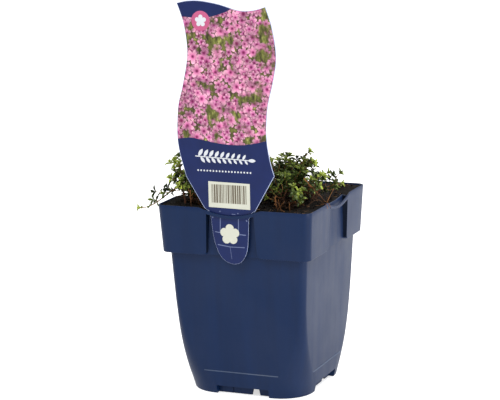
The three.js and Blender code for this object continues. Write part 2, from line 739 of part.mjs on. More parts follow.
/** A leafy stem before it is trimmed: its rings up to the soil, and its trunk with two side shoots. */
function growStem(plan, random) {
  const { curve, foot } = stemCurve(plan);
  const turn = 2 * Math.PI * random();
  const across = new THREE.Vector3(Math.cos(turn), Math.sin(turn), 0);
  const radii = [STEM_FOOT_RADIUS, STEM_TIP_RADIUS];
  const trunk = growBranch(curve, FIRST_PAIR / curve.getLength(), across, radii, random);
  const v = new THREE.Vector3().crossVectors(new THREE.Vector3(0, 0, 1), across);
  const count = trunk.joints.length;
  SHOOT_PLACES.forEach((share, i) => {
    const number = Math.floor(count * share);
    const joint = trunk.joints[number];
    joint.shoots.push(growShoot(joint, ((number + 1) % 2) + 2 * i, random));
  });
  const rings = [foot, curve.getPoint(0)].map((centre) => (
    { centre, u: across, v, radius: STEM_FOOT_RADIUS }
  ));
  return { name: plan.name, root: plan.root, radius: STEM_FOOT_RADIUS, rings, trunk };
}

/** All leafy stems. A side shoot or a leaf that would meet another stem or leaf is left out. */
function makeStems(obstacles) {
  const random = randomSource(731);
  const plans = [...CROWNS.flatMap((crown) => crownStems(crown, random)), ...LEADERS];
  const stems = plans.map((plan) => growStem(plan, random));
  const placed = obstacles.map((solid) => ({ solid, box: solid.boundingBox() }));
  const place = (solid, tags) => placed.push({ solid, box: solid.boundingBox(), ...tags });
  for (const { name, rings, trunk } of stems) place(branchSolid(rings, trunk, true), { owner: name });
  for (const { name, trunk } of stems) {
    for (const shoot of trunk.joints.flatMap(({ shoots }) => shoots)) {
      const solid = branchSolid(shoot.rings, shoot.branch, true);
      shoot.isKept = isClear(solid, placed.filter(({ owner }) => owner !== name));
      if (shoot.isKept) place(solid, { owner: name });
    }
  }
  for (const { name, trunk } of stems) {
    const grown = trunk.joints.flatMap(({ shoots }) => shoots).filter(({ isKept }) => isKept);
    for (const joint of [...trunk.joints, ...grown.flatMap(({ branch }) => branch.joints)]) {
      const others = placed.filter(({ owner, isLeaf }) => owner !== name || isLeaf);
      for (const grownLeaf of joint.leaves) {
        const solid = leafSolid(grownLeaf.leaf);
        grownLeaf.isKept = isClear(solid, others);
        if (grownLeaf.isKept) place(solid, { owner: name, isLeaf: true });
      }
    }
  }
  return stems.map(({ rings, trunk, ...rest }) => ({ ...rest, solid: branchSolid(rings, trunk, false) }));
}

/** The dead stems. */
function makeDryStems() {
  return DRY_STEMS.map((plan) => {
    const { curve, foot } = stemCurve(plan);
    const across = new THREE.Vector3(0, 1, 0);
    const rings = [0, 0.25, 0.5, 0.75, 1].map((share) => (
      ringAt(curve, share, across, DRY_STEM_RADIUS * (1 - DRY_STEM_TAPER * share))
    ));
    const skin = new Skin();
    let ring = skin.addRing({ ...rings[0], centre: foot });
    skin.addQuad([...ring].reverse());
    for (const next of rings) {
      const above = skin.addRing(next);
      skin.facesBetween(ring, above).forEach((face) => skin.addQuad(face));
      ring = above;
    }
    skin.addQuad(ring);
    return { name: plan.name, root: plan.root, radius: DRY_STEM_RADIUS, solid: skin.toSolid() };
  });
}

// ---------------------------------------------------------------- assembly

const model = new THREE.Group();

/** Adds a solid to the model as a named mesh. */
function addPiece(name, solid, colour, roughness) {
  const material = new THREE.MeshStandardMaterial({ color: colour, roughness, metalness: 0 });
  const mesh = new THREE.Mesh(toGeometry(solid), material);
  mesh.name = name;
  model.add(mesh);
}

const pot = makePot();
const tag = makeTag();
const dryStems = makeDryStems();
const fill = makeFill();
const leafyStems = makeStems([pot, tag, fill, ...dryStems.map(({ solid }) => solid)]);
const soil = makeSoil(fill, [...leafyStems, ...dryStems]);

addPiece("pot", pot, COLOURS.pot, 0.45);
addPiece("soil", soil, COLOURS.soil, 0.95);
addPiece("tag", tag, COLOURS.tag, 0.4);
for (const { name, solid } of leafyStems) addPiece(name, solid, COLOURS.leaf, 0.6);
for (const { name, solid } of dryStems) addPiece(name, solid, COLOURS.dry, 0.8);

export default model;
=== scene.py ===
"""Creeping thyme in a square dark blue nursery pot, with a tall printed plant tag behind its front strap.

Sizes in the classes are millimetres in the frame's axes: the origin is the middle of the pot's foot on the
ground, +X is to the right of someone who faces the tag, +Y goes away from them and +Z is up.
"""

import logging
import math
from dataclasses import dataclass, field
from enum import Enum, IntEnum
from typing import Iterable, Sequence

import bmesh
import bpy
import numpy as np
from mathutils import Matrix, Vector

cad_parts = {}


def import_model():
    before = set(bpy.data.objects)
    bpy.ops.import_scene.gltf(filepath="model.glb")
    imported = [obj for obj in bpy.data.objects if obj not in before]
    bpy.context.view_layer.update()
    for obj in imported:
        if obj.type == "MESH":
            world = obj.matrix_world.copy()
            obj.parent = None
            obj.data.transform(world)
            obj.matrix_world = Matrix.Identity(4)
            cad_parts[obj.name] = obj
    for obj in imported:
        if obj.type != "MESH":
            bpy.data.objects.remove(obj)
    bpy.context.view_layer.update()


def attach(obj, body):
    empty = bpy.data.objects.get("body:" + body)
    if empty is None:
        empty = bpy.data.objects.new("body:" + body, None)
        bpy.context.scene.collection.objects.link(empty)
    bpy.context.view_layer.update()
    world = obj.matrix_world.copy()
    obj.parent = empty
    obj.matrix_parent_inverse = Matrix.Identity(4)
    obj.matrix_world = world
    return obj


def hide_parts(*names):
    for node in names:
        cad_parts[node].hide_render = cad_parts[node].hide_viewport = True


LOG = logging.getLogger("potted_thyme")
MM = 0.001
BODY = "root"

# Seeds of the random numbers: the frame's own stems, and what only this script adds.
FRAME_SEED = 731
SOIL_SEED = 5
STEM_SEED = 100
DRY_STEM_SEED = 900
TANGLE_SEED = 950
TWIG_SEED = 980

CARD_ROUGHNESS = 0.42
CARD_IOR = 1.3
# Solids that are joined or cut never share a face: they lie at least so many millimetres apart.
APART = 0.05

Point = tuple[float, float, float]
Colour = tuple[float, float, float]
Outline = Sequence[tuple[float, float]]
Shape = tuple[np.ndarray, list[tuple[int, ...]]]
Frame = tuple[np.ndarray, np.ndarray, np.ndarray, np.ndarray]


# ---------------------------------------------------------------- mesh helpers


def lerp(low: float, high: float, share: float) -> float:
    """The value at a share of the way between two values."""
    return low + (high - low) * share


def srgb(red: int, green: int, blue: int) -> Colour:
    """A colour of 0 to 255 display values as linear light."""
    values = [value / 255 for value in (red, green, blue)]
    return tuple(v / 12.92 if v <= 0.04045 else ((v + 0.055) / 1.055) ** 2.4 for v in values)


def deselect_all() -> None:
    """Leaves edit mode and selects nothing."""
    if bpy.context.mode != "OBJECT":
        bpy.ops.object.mode_set(mode="OBJECT")
    bpy.ops.object.select_all(action="DESELECT")


def pick(*pieces: bpy.types.Object) -> None:
    """Selects these pieces only, the first of them active.

    Args:
        pieces: the pieces to select.
    """
    deselect_all()
    for piece in pieces:
        piece.select_set(True)
    bpy.context.view_layer.objects.active = pieces[0]


def renamed(name: str) -> bpy.types.Object:
    """The active object and its mesh, given a name.

    Args:
        name: the name for both.

    Returns:
        The active object.
    """
    piece = bpy.context.object
    piece.name = piece.data.name = name
    return piece


def settle(piece: bpy.types.Object) -> bpy.types.Object:
    """Puts a piece's place, turn and scale into its mesh.

    Args:
        piece: the piece to settle.

    Returns:
        The same piece.
    """
    pick(piece)
    bpy.ops.object.transform_apply(location=True, rotation=True, scale=True)
    return piece


def clean(piece: bpy.types.Object, merge: float = 0.001) -> bpy.types.Object:
    """Merges doubled vertices and turns all faces outwards.

    Args:
        piece: the piece to clean.
        merge: distance under which vertices are merged, in millimetres.

    Returns:
        The same piece.
    """
    pick(piece)
    bpy.ops.object.mode_set(mode="EDIT")
    bpy.ops.mesh.select_all(action="SELECT")
    bpy.ops.mesh.remove_doubles(threshold=merge * MM)
    bpy.ops.mesh.normals_make_consistent(inside=False)
    bpy.ops.object.mode_set(mode="OBJECT")
    return piece


def joined(name: str, pieces: Sequence[bpy.types.Object]) -> bpy.types.Object:
    """Joins several pieces into one mesh.

    Args:
        name: the name of the whole.
        pieces: the pieces, of which the first takes up the others.

    Returns:
        The joined piece.
    """
    pick(*pieces)
    if len(pieces) > 1:
        bpy.ops.object.join()
    return renamed(name)


def modified(piece: bpy.types.Object, kind: str, **settings: object) -> bpy.types.Object:
    """Adds a modifier with these settings and applies it.

    Args:
        piece: the piece to change.
        kind: the modifier's type, as Blender names it.
        settings: values of the modifier's properties.

    Returns:
        The same piece.
    """
    pick(piece)
    modifier = piece.modifiers.new(kind.lower(), kind)
    for name, value in settings.items():
        setattr(modifier, name, value)
    bpy.ops.object.modifier_apply(modifier=modifier.name)
    return piece


def combined(piece: bpy.types.Object, other: bpy.types.Object, operation: str) -> bpy.types.Object:
    """Joins another solid to a piece or cuts it away, and removes the other.

    Args:
        piece: the piece to change.
        other: the solid that is joined to it or cut away.
        operation: the Boolean's operation, as Blender names it.

    Returns:
        The same piece.
    """
    modified(piece, "BOOLEAN", object=other, operation=operation, solver="EXACT")
    bpy.data.objects.remove(other)
    return clean(piece)


def smoothed(piece: bpy.types.Object, degrees: float = 32.0) -> bpy.types.Object:
    """Shades a piece smooth across edges that are flatter than an angle.

    Args:
        piece: the piece to shade.
        degrees: the angle.

    Returns:
        The same piece.
    """
    pick(piece)
    bpy.ops.object.shade_smooth_by_angle(angle=math.radians(degrees))
    return piece


def skin_over_rings(name: str, rings: Sequence[np.ndarray]) -> bpy.types.Object:
    """Extrudes a closed skin over rings of equally many points, with a flat face at both ends.

    Args:
        name: the piece's name.
        rings: arrays of points in millimetres, in the order in which the skin passes them.

    Returns:
        The new piece.
    """
    deselect_all()
    bpy.ops.mesh.primitive_circle_add(vertices=len(rings[0]), radius=1.0, fill_type="NGON")
    piece = renamed(name)
    bpy.ops.object.mode_set(mode="EDIT")
    mesh = bmesh.from_edit_mesh(piece.data)
    mesh.verts.layers.int.new("place")
    place = mesh.verts.layers.int["place"]
    mesh.verts.ensure_lookup_table()
    for number, vertex in enumerate(mesh.verts):
        vertex[place] = number
        vertex.co = Vector(rings[0][number]) * MM
    bpy.ops.mesh.select_all(action="SELECT")
    for ring in rings[1:]:
        bpy.ops.mesh.extrude_region_move()
        mesh = bmesh.from_edit_mesh(piece.data)
        place = mesh.verts.layers.int["place"]
        for vertex in mesh.verts:
            if vertex.select:
                vertex.co = Vector(ring[vertex[place]]) * MM
    bpy.ops.mesh.select_all(action="SELECT")
    bpy.ops.mesh.normals_make_consistent(inside=False)
    bpy.ops.object.mode_set(mode="OBJECT")
    piece.data.attributes.remove(piece.data.attributes["place"])
    return piece


def plate(name: str, outline: Outline, front: float, thickness: float) -> bpy.types.Object:
    """Makes a flat upright plate from an outline in X and Z.

    Args:
        name: the piece's name.
        outline: the outline's points, in millimetres.
        front: the front face's Y.
        thickness: how thick the plate is behind its front face.

    Returns:
        The new piece.
    """
    curve = bpy.data.curves.new(name, "CURVE")
    curve.dimensions = "2D"
    curve.fill_mode = "BOTH"
    curve.extrude = thickness / 2 * MM
    spline = curve.splines.new("POLY")
    spline.points.add(len(outline) - 1)
    for point, (x, z) in zip(spline.points, outline):
        point.co = (x * MM, z * MM, 0.0, 1.0)
    spline.use_cyclic_u = True
    piece = bpy.data.objects.new(name, curve)
    bpy.context.collection.objects.link(piece)
    piece.rotation_euler = (math.pi / 2, 0.0, 0.0)
    piece.location = (0.0, (front + thickness / 2) * MM, 0.0)
    pick(piece)
    bpy.ops.object.convert(target="MESH")
    return clean(settle(renamed(name)), 0.0005)


def block(name: str, low: Point, high: Point) -> bpy.types.Object:
    """Makes a box between two corners, to join or to cut with.

    Args:
        name: the piece's name.
        low: its lowest corner, in millimetres.
        high: its highest corner, in millimetres.

    Returns:
        The new piece.
    """
    deselect_all()
    middle = [(a + b) / 2 * MM for a, b in zip(low, high)]
    bpy.ops.mesh.primitive_cube_add(size=1.0, location=middle)
    piece = renamed(name)
    piece.scale = [(b - a) * MM for a, b in zip(low, high)]
    return settle(piece)


def post(name: str, x: float, y: float, low: float, high: float, radius: float) -> bpy.types.Object:
    """Makes an upright cylinder, to join or to cut with.

    Args:
        name: the piece's name.
        x: its axis's X, in millimetres.
        y: its axis's Y.
        low: the height of its foot.
        high: the height of its top.
        radius: its radius.

    Returns:
        The new piece.
    """
    deselect_all()
    middle, depth = (x * MM, y * MM, (low + high) / 2 * MM), (high - low) * MM
    bpy.ops.mesh.primitive_cylinder_add(vertices=32, radius=radius * MM, depth=depth, location=middle)
    return settle(renamed(name))


def duplicate(piece: bpy.types.Object, change: Matrix) -> bpy.types.Object:
    """Copies a piece with a mesh of its own.

    Args:
        piece: the piece to copy.
        change: how the copy's mesh is moved and turned.

    Returns:
        The copy.
    """
    copy = piece.copy()
    copy.data = piece.data.copy()
    bpy.context.collection.objects.link(copy)
    copy.data.transform(change)
    return copy


def on_four_sides(name: str, piece: bpy.types.Object) -> bpy.types.Object:
    """Joins a piece and three copies of it, each a quarter turn round the pot's axis further.

    Args:
        name: the name of the whole.
        piece: the piece on the first side.

    Returns:
        The joined piece.
    """
    copies = [duplicate(piece, Matrix.Rotation(quarter * math.pi / 2, 4, "Z")) for quarter in (1, 2, 3)]
    return joined(name, [piece, *copies])


def placed(
    piece: bpy.types.Object,
    materials: Iterable[bpy.types.Material] = (),
    replaces: Sequence[str] = (),
) -> bpy.types.Object:
    """Dresses a finished piece, fixes it to the pot's body and reports it.

    Args:
        piece: the finished piece.
        materials: its materials in the order of its mesh's slots, or none to keep the ones it has.
        replaces: the frame's nodes that it stands for.

    Returns:
        The same piece.
    """
    materials = list(materials)
    if len(materials) == 1 and len(piece.data.materials):
        piece.data.materials.clear()
    for material in materials:
        piece.data.materials.append(material)
    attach(piece, BODY)
    if replaces:
        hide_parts(*replaces)
    LOG.info("%s: %d faces", piece.name, len(piece.data.polygons))
    return piece


# ---------------------------------------------------------------- material helpers


class GroupName(Enum):
    """The node groups that several materials share."""

    MOULDED = "moulded_surface"
    BLOSSOM = "printed_blossoms"


class Shader:
    """A node tree that is being built, with short ways to add and join nodes."""

    def __init__(self, tree: bpy.types.NodeTree) -> None:
        """Starts with a node tree."""
        self.tree = tree

    def node(self, kind: str, inputs: dict | None = None, **settings: object) -> bpy.types.Node:
        """Adds a node.

        Args:
            kind: the node's type, without its ShaderNode prefix.
            inputs: values or output sockets by the input's name or number.
            settings: values of the node's properties.

        Returns:
            The new node.
        """
        made = self.tree.nodes.new("ShaderNode" + kind)
        for name, value in settings.items():
            setattr(made, name, value)
        for name, value in (inputs or {}).items():
            self.feed(made.inputs[name], value)
        return made

    def feed(self, socket: bpy.types.NodeSocket, value: object) -> None:
        """Joins an output to an input, or sets the input's own value.

        Args:
            socket: the input.
            value: an output's socket, or a plain value.
        """
        if isinstance(value, bpy.types.NodeSocket):
            self.tree.links.new(value, socket)
        elif isinstance(value, tuple) and len(value) == 3 and socket.type == "RGBA":
            socket.default_value = (*value, 1.0)
        else:
            socket.default_value = value

    def maths(self, operation: str, *values: object) -> bpy.types.NodeSocket:
        """The result of a Math node on these values."""
        return self.node("Math", dict(enumerate(values)), operation=operation).outputs[0]

    def times(self, first: object, second: object) -> bpy.types.NodeSocket:
        """The product of two values."""
        return self.maths("MULTIPLY", first, second)

    def vector(self, operation: str, *values: object) -> bpy.types.Node:
        """A Vector Math node on these values."""
        return self.node("VectorMath", dict(enumerate(values)), operation=operation)

    def scaled(self, vector: object, scale: object) -> bpy.types.NodeSocket:
        """A vector or colour times a value.

        Args:
            vector: the vector or colour.
            scale: the value.

        Returns:
            The output with the result.
        """
        made = self.vector("SCALE", vector)
        self.feed(made.inputs["Scale"], scale)
        return made.outputs[0]

    def place(self) -> bpy.types.NodeSocket:
        """The place on the object, in its own coordinates."""
        return self.node("TexCoord").outputs["Object"]

    def stretched(self, where: object, scale: Point, turn: float = 0.0) -> bpy.types.NodeSocket:
        """A place whose axes are scaled, and turned about the third of them."""
        inputs = {"Vector": where, "Scale": scale, "Rotation": (0.0, 0.0, turn)}
        return self.node("Mapping", inputs).outputs[0]

    def mixed(self, share: object, low: object, high: object) -> bpy.types.NodeSocket:
        """A mix of two colours.

        Args:
            share: share of the second colour.
            low: the first colour.
            high: the second colour.

        Returns:
            The output with the mix.
        """
        made = self.node("Mix", data_type="RGBA")
        colours = [socket for socket in made.inputs if socket.type == "RGBA"]
        self.feed(made.inputs[0], share)
        self.feed(colours[0], low)
        self.feed(colours[1], high)
        return next(socket for socket in made.outputs if socket.type == "RGBA")

    def ranged(
        self, value: object, low: float, high: float, to_low: float = 0.0, to_high: float = 1.0
    ) -> bpy.types.NodeSocket:
        """A value's range mapped to another, and held inside it."""
        limits = {"Value": value, "From Min": low, "From Max": high, "To Min": to_low, "To Max": to_high}
        return self.node("MapRange", limits).outputs["Result"]

    def noise(
        self, where: object, scale: float, detail: float = 3.0, roughness: float = 0.55
    ) -> bpy.types.NodeSocket:
        """The value of a noise texture."""
        inputs = {"Vector": where, "Scale": scale, "Detail": detail, "Roughness": roughness}
        return self.node("TexNoise", inputs).outputs["Fac"]

    def group(self, name: GroupName, **inputs: object) -> bpy.types.Node:
        """Adds a copy of a shared node group.

        Args:
            name: which group.
            inputs: values or output sockets by the input's name.

        Returns:
            The group's node.
        """
        made = self.node("Group", node_tree=bpy.data.node_groups[name.value])
        for key, value in inputs.items():
            self.feed(made.inputs[key], value)
        return made

    def bump(self, principled: bpy.types.Node, strength: float, distance: float, height: object) -> None:
        """Gives a Principled node a bumped surface.

        Args:
            principled: the node.
            strength: how strong the bumps are.
            distance: how deep they are, in metres.
            height: the output with their height.
        """
        made = self.node("Bump", {"Strength": strength, "Distance": distance, "Height": height})
        self.feed(principled.inputs["Normal"], made.outputs["Normal"])


def new_material(
    name: str, colour: Colour, roughness: float = 0.5, ior: float = 1.5
) -> tuple[bpy.types.Material, Shader, bpy.types.Node]:
    """Makes a material with a Principled shader.

    Args:
        name: the material's name.
        colour: its base colour and its colour in a plain viewport, in linear light.
        roughness: how rough its surface is.
        ior: its index of refraction, which sets how bright its reflections are.

    Returns:
        The material, its tree as a Shader, and its Principled node.
    """
    material = bpy.data.materials.new(name)
    material.use_nodes = True
    material.diffuse_color = (*colour, 1.0)
    principled = material.node_tree.nodes["Principled BSDF"]
    principled.inputs["Base Color"].default_value = (*colour, 1.0)
    principled.inputs["Roughness"].default_value = roughness
    principled.inputs["IOR"].default_value = ior
    return material, Shader(material.node_tree), principled


def new_group(
    name: GroupName, inputs: dict[str, object], outputs: dict[str, str]
) -> tuple[Shader, dict[str, bpy.types.NodeSocket], dict[str, bpy.types.NodeSocket]]:
    """Makes a shared node group.

    Args:
        name: which group it is.
        inputs: default value of each input by name; a vector input has None.
        outputs: socket type of each output by name.

    Returns:
        The group's tree as a Shader, its inputs by name, and the sockets that feed its outputs by name.
    """
    tree = bpy.data.node_groups.new(name.value, "ShaderNodeTree")
    kinds = {type(None): "NodeSocketVector", tuple: "NodeSocketColor", float: "NodeSocketFloat"}
    for key, value in inputs.items():
        socket = tree.interface.new_socket(name=key, in_out="INPUT", socket_type=kinds[type(value)])
        if value is not None:
            socket.default_value = (*value, 1.0) if isinstance(value, tuple) else value
    for key, kind in outputs.items():
        tree.interface.new_socket(name=key, in_out="OUTPUT", socket_type=kind)
    entry = tree.nodes.new("NodeGroupInput")
    leave = tree.nodes.new("NodeGroupOutput")
    given = {key: entry.outputs[key] for key in inputs}
    results = {key: leave.inputs[key] for key in outputs}
    return Shader(tree), given, results


def build_moulded_group() -> None:
    """Makes the group for moulded plastic: its colour with clouds and dust, its roughness and its grain."""
    shader, given, results = new_group(
        GroupName.MOULDED,
        {"Vector": None, "Colour": (0.1, 0.1, 0.1), "Dust": 0.1, "Gloss": 0.35, "Grain": 0.1, "Streaks": 0.5},
        {"Colour": "NodeSocketColor", "Roughness": "NodeSocketFloat", "Height": "NodeSocketFloat"},
    )
    where, dust = given["Vector"], given["Dust"]
    clouds = shader.noise(where, 22.0, 4.0)
    specks = shader.noise(where, 900.0, 2.0, 0.7)
    scuffs = shader.noise(shader.stretched(where, (1.0, 1.0, 0.12)), 260.0, 5.0, 0.7)
    dusty = shader.times(shader.ranged(clouds, 0.42, 0.72), dust)
    dusty = shader.maths("ADD", dusty, shader.times(shader.ranged(specks, 0.66, 0.74), dust))
    runs = shader.noise(shader.stretched(where, (1.0, 1.0, 0.05)), 150.0, 4.0, 0.6)
    runs = shader.times(shader.ranged(runs, 0.32, 0.68, -1.0, 1.0), given["Streaks"])
    shaded = shader.scaled(given["Colour"], shader.maths("MULTIPLY_ADD", runs, 0.16, 1.0))
    shader.feed(results["Colour"], shader.mixed(dusty, shaded, srgb(150, 150, 150)))
    rough = shader.maths("ADD", given["Gloss"], shader.ranged(clouds, 0.35, 0.7, -0.05, 0.06))
    rough = shader.maths("MULTIPLY_ADD", runs, 0.06, rough)
    scuffed = shader.times(shader.ranged(scuffs, 0.6, 0.75), 0.08)
    shader.feed(results["Roughness"], shader.maths("ADD", rough, scuffed))
    grain = shader.times(shader.noise(where, 1500.0, 2.0), given["Grain"])
    waves = shader.times(shader.noise(where, 35.0, 2.0), 0.6)
    shader.feed(results["Height"], shader.maths("ADD", grain, waves))


def build_blossom_group() -> None:
    """Makes the group for one layer of printed blossoms: where they are, and their light and shade."""
    shader, given, results = new_group(
        GroupName.BLOSSOM,
        {"Vector": None, "Scale": 250.0, "Turn": 0.0, "Cover": 0.5},
        {key: "NodeSocketFloat" for key in ("Mask", "Shadow", "Shade", "Tone")},
    )
    cells = {"Vector": given["Vector"], "Scale": given["Scale"]}
    cells = shader.node("TexVoronoi", cells, voronoi_dimensions="2D")
    local = shader.vector("SUBTRACT", given["Vector"], cells.outputs["Position"]).outputs[0]
    local = shader.scaled(local, given["Scale"])
    apart = shader.node("SeparateXYZ", {0: local})
    chance = shader.node("SeparateColor", {0: cells.outputs["Color"]})
    angle = shader.maths("ARCTAN2", apart.outputs[1], apart.outputs[0])
    angle = shader.maths("ADD", angle, shader.maths("MULTIPLY_ADD", chance.outputs[0], 6.283, given["Turn"]))
    lobes = shader.maths("ABSOLUTE", shader.maths("COSINE", shader.times(angle, 2.5)))
    reach = shader.maths("MULTIPLY_ADD", lobes, 0.3, 0.26)
    reach = shader.times(reach, shader.ranged(chance.outputs[1], 0.0, 1.0, 0.75, 1.15))
    away = shader.vector("LENGTH", local).outputs["Value"]
    depth = shader.maths("SUBTRACT", reach, away)
    shown = shader.maths("LESS_THAN", chance.outputs[2], given["Cover"])
    shader.feed(results["Mask"], shader.times(shader.ranged(depth, 0.0, 0.06), shown))
    shader.feed(results["Shadow"], shader.times(shader.ranged(depth, -0.2, 0.0), shown))
    shader.feed(results["Shade"], shader.ranged(away, 0.04, 0.5))
    shader.feed(results["Tone"], chance.outputs[1])


@dataclass(frozen=True)
class MouldedPlastic:
    """Satin moulded plastic, with clouds, scuffs and dust."""

    name: str
    colour: Colour
    gloss: float = 0.36
    dust: float = 0.06
    grain: float = 0.1
    bump: float = 0.05
    ior: float = 1.27

    def make(self) -> bpy.types.Material:
        """Makes the material.

        Returns:
            The new material.
        """
        material, shader, principled = new_material(self.name, self.colour, ior=self.ior)
        surface = shader.group(
            GroupName.MOULDED,
            Vector=shader.place(),
            Colour=self.colour,
            Dust=self.dust,
            Gloss=self.gloss,
            Grain=self.grain,
        )
        shader.feed(principled.inputs["Base Color"], surface.outputs["Colour"])
        shader.feed(principled.inputs["Roughness"], surface.outputs["Roughness"])
        shader.bump(principled, self.bump, 0.0004, surface.outputs["Height"])
        return material


@dataclass(frozen=True)
class Print:
    """Ink on the tag's card, with the card's faint sheen and dots."""

    name: str
    colour: Colour
    variation: float = 0.12

    def make(self) -> bpy.types.Material:
        """Makes the material.

        Returns:
            The new material.
        """
        material, shader, principled = new_material(self.name, self.colour, CARD_ROUGHNESS, CARD_IOR)
        where = shader.place()
        dark = tuple(channel * (1 - self.variation) for channel in self.colour)
        light = tuple(min(1.0, channel * (1 + self.variation)) for channel in self.colour)
        cloud = shader.ranged(shader.noise(where, 60.0, 4.0), 0.3, 0.7)
        shader.feed(principled.inputs["Base Color"], shader.mixed(cloud, dark, light))
        shader.bump(principled, 0.04, 0.0002, shader.noise(where, 700.0))
        return material


@dataclass(frozen=True)
class BlossomLayer:
    """One layer of printed blossoms: its cells in a metre, their turn, and the share of them in bloom."""

    scale: float
    turn: float
    cover: float


@dataclass(frozen=True)
class BlossomPrint:
    """A printed picture of a bed of small pink blossoms over green leaves."""

    name: str
    deep: Colour = srgb(102, 16, 66)
    middle: Colour = srgb(170, 40, 132)
    light: Colour = srgb(200, 86, 148)
    pale: Colour = srgb(240, 200, 207)
    heart: Colour = srgb(104, 22, 66)
    shadow: Colour = srgb(66, 22, 44)
    greens: tuple[Colour, Colour, Colour] = (srgb(60, 56, 30), srgb(116, 120, 56), srgb(178, 176, 104))
    step: tuple[float, float] = (0.0137, 0.0071)
    layers: tuple[BlossomLayer, ...] = (
        BlossomLayer(150.0, 0.3, 0.95),
        BlossomLayer(125.0, 1.9, 0.85),
        BlossomLayer(105.0, 3.1, 0.75),
        BlossomLayer(165.0, 4.4, 0.4),
    )

    def make(self) -> bpy.types.Material:
        """Makes the material.

        Returns:
            The new material.
        """
        material, shader, principled = new_material(self.name, self.middle, CARD_ROUGHNESS, CARD_IOR)
        apart = shader.node("SeparateXYZ", {0: shader.place()})
        flat = shader.node("CombineXYZ", {0: apart.outputs[0], 1: apart.outputs[2]}).outputs[0]
        blades = shader.noise(shader.stretched(flat, (1.0, 0.35, 1.0), 0.35), 420.0, 3.0, 0.6)
        colour = shader.mixed(shader.ranged(blades, 0.35, 0.6), self.greens[0], self.greens[1])
        colour = shader.mixed(shader.ranged(blades, 0.58, 0.72), colour, self.greens[2])
        patches = shader.noise(flat, 55.0, 2.0)
        for number, layer in enumerate(self.layers):
            shift = (self.step[0] * number, self.step[1] * number, 0.0)
            where = shader.vector("ADD", flat, shift).outputs[0]
            blossoms = shader.group(
                GroupName.BLOSSOM, Vector=where, Scale=layer.scale, Turn=layer.turn, Cover=layer.cover
            )
            mask, shadow, shade, tone = (blossoms.outputs[key] for key in ("Mask", "Shadow", "Shade", "Tone"))
            petals = shader.mixed(shader.ranged(tone, 0.0, 0.5), self.deep, self.middle)
            petals = shader.mixed(shader.ranged(tone, 0.5, 1.0), petals, self.light)
            petals = shader.mixed(shader.times(shade, 0.6), petals, self.pale)
            petals = shader.mixed(shader.ranged(shade, 0.0, 0.3), self.heart, petals)
            bedded = shader.ranged(patches, 0.36 + 0.03 * number, 0.44 + 0.03 * number)
            colour = shader.mixed(shader.times(shader.times(shadow, bedded), 0.6), colour, self.shadow)
            colour = shader.mixed(shader.times(mask, bedded), colour, petals)
        shade = shader.ranged(shader.noise(flat, 110.0, 4.0, 0.7), 0.3, 0.7, 0.46, 1.17)
        shader.feed(principled.inputs["Base Color"], shader.scaled(colour, shade))
        return material


@dataclass(frozen=True)
class Earth:
    """Dark damp potting soil with peat fibres."""

    name: str
    dark: Colour = srgb(9, 7, 6)
    light: Colour = srgb(32, 26, 21)
    fibre: Colour = srgb(128, 92, 60)

    def make(self) -> bpy.types.Material:
        """Makes the material.

        Returns:
            The new material.
        """
        material, shader, principled = new_material(self.name, self.dark, 0.92, 1.2)
        where = shader.place()
        lumps = shader.noise(where, 320.0, 6.0, 0.7)
        fibres = shader.noise(shader.stretched(where, (1.0, 0.25, 1.0)), 900.0, 4.0)
        colour = shader.mixed(shader.ranged(lumps, 0.42, 0.72), self.dark, self.light)
        colour = shader.mixed(shader.ranged(fibres, 0.66, 0.74), colour, self.fibre)
        shader.feed(principled.inputs["Base Color"], colour)
        shader.bump(principled, 0.7, 0.0012, lumps)
        return material


@dataclass(frozen=True)
class Foliage:
    """Leaf, bark or dead wood, whose colour runs from an old to a young tone by the mesh's tint attribute."""

    name: str
    old: Colour
    middle: Colour
    young: Colour
    gloss: float = 0.45
    ior: float = 1.3

    def make(self) -> bpy.types.Material:
        """Makes the material.

        Returns:
            The new material.
        """
        material, shader, principled = new_material(self.name, self.middle, self.gloss, self.ior)
        where = shader.place()
        tint = shader.node("Attribute", attribute_name="tint").outputs["Fac"]
        spots = shader.ranged(shader.noise(where, 900.0, 3.0), 0.3, 0.7, -0.12, 0.12)
        age = shader.maths("ADD", tint, spots)
        colour = shader.mixed(shader.ranged(age, 0.0, 0.55), self.old, self.middle)
        colour = shader.mixed(shader.ranged(age, 0.5, 1.0), colour, self.young)
        shader.feed(principled.inputs["Base Color"], colour)
        shader.bump(principled, 0.25, 0.0003, shader.noise(where, 1400.0))
        return material


# ---------------------------------------------------------------- pot


@dataclass(frozen=True)
class Section:
    """The pot's outside at a height: half width, corner radius, and the recesses' depth and half width."""

    z: float
    half: float
    radius: float
    recess: float = 0.0
    recess_half: float = 19.2


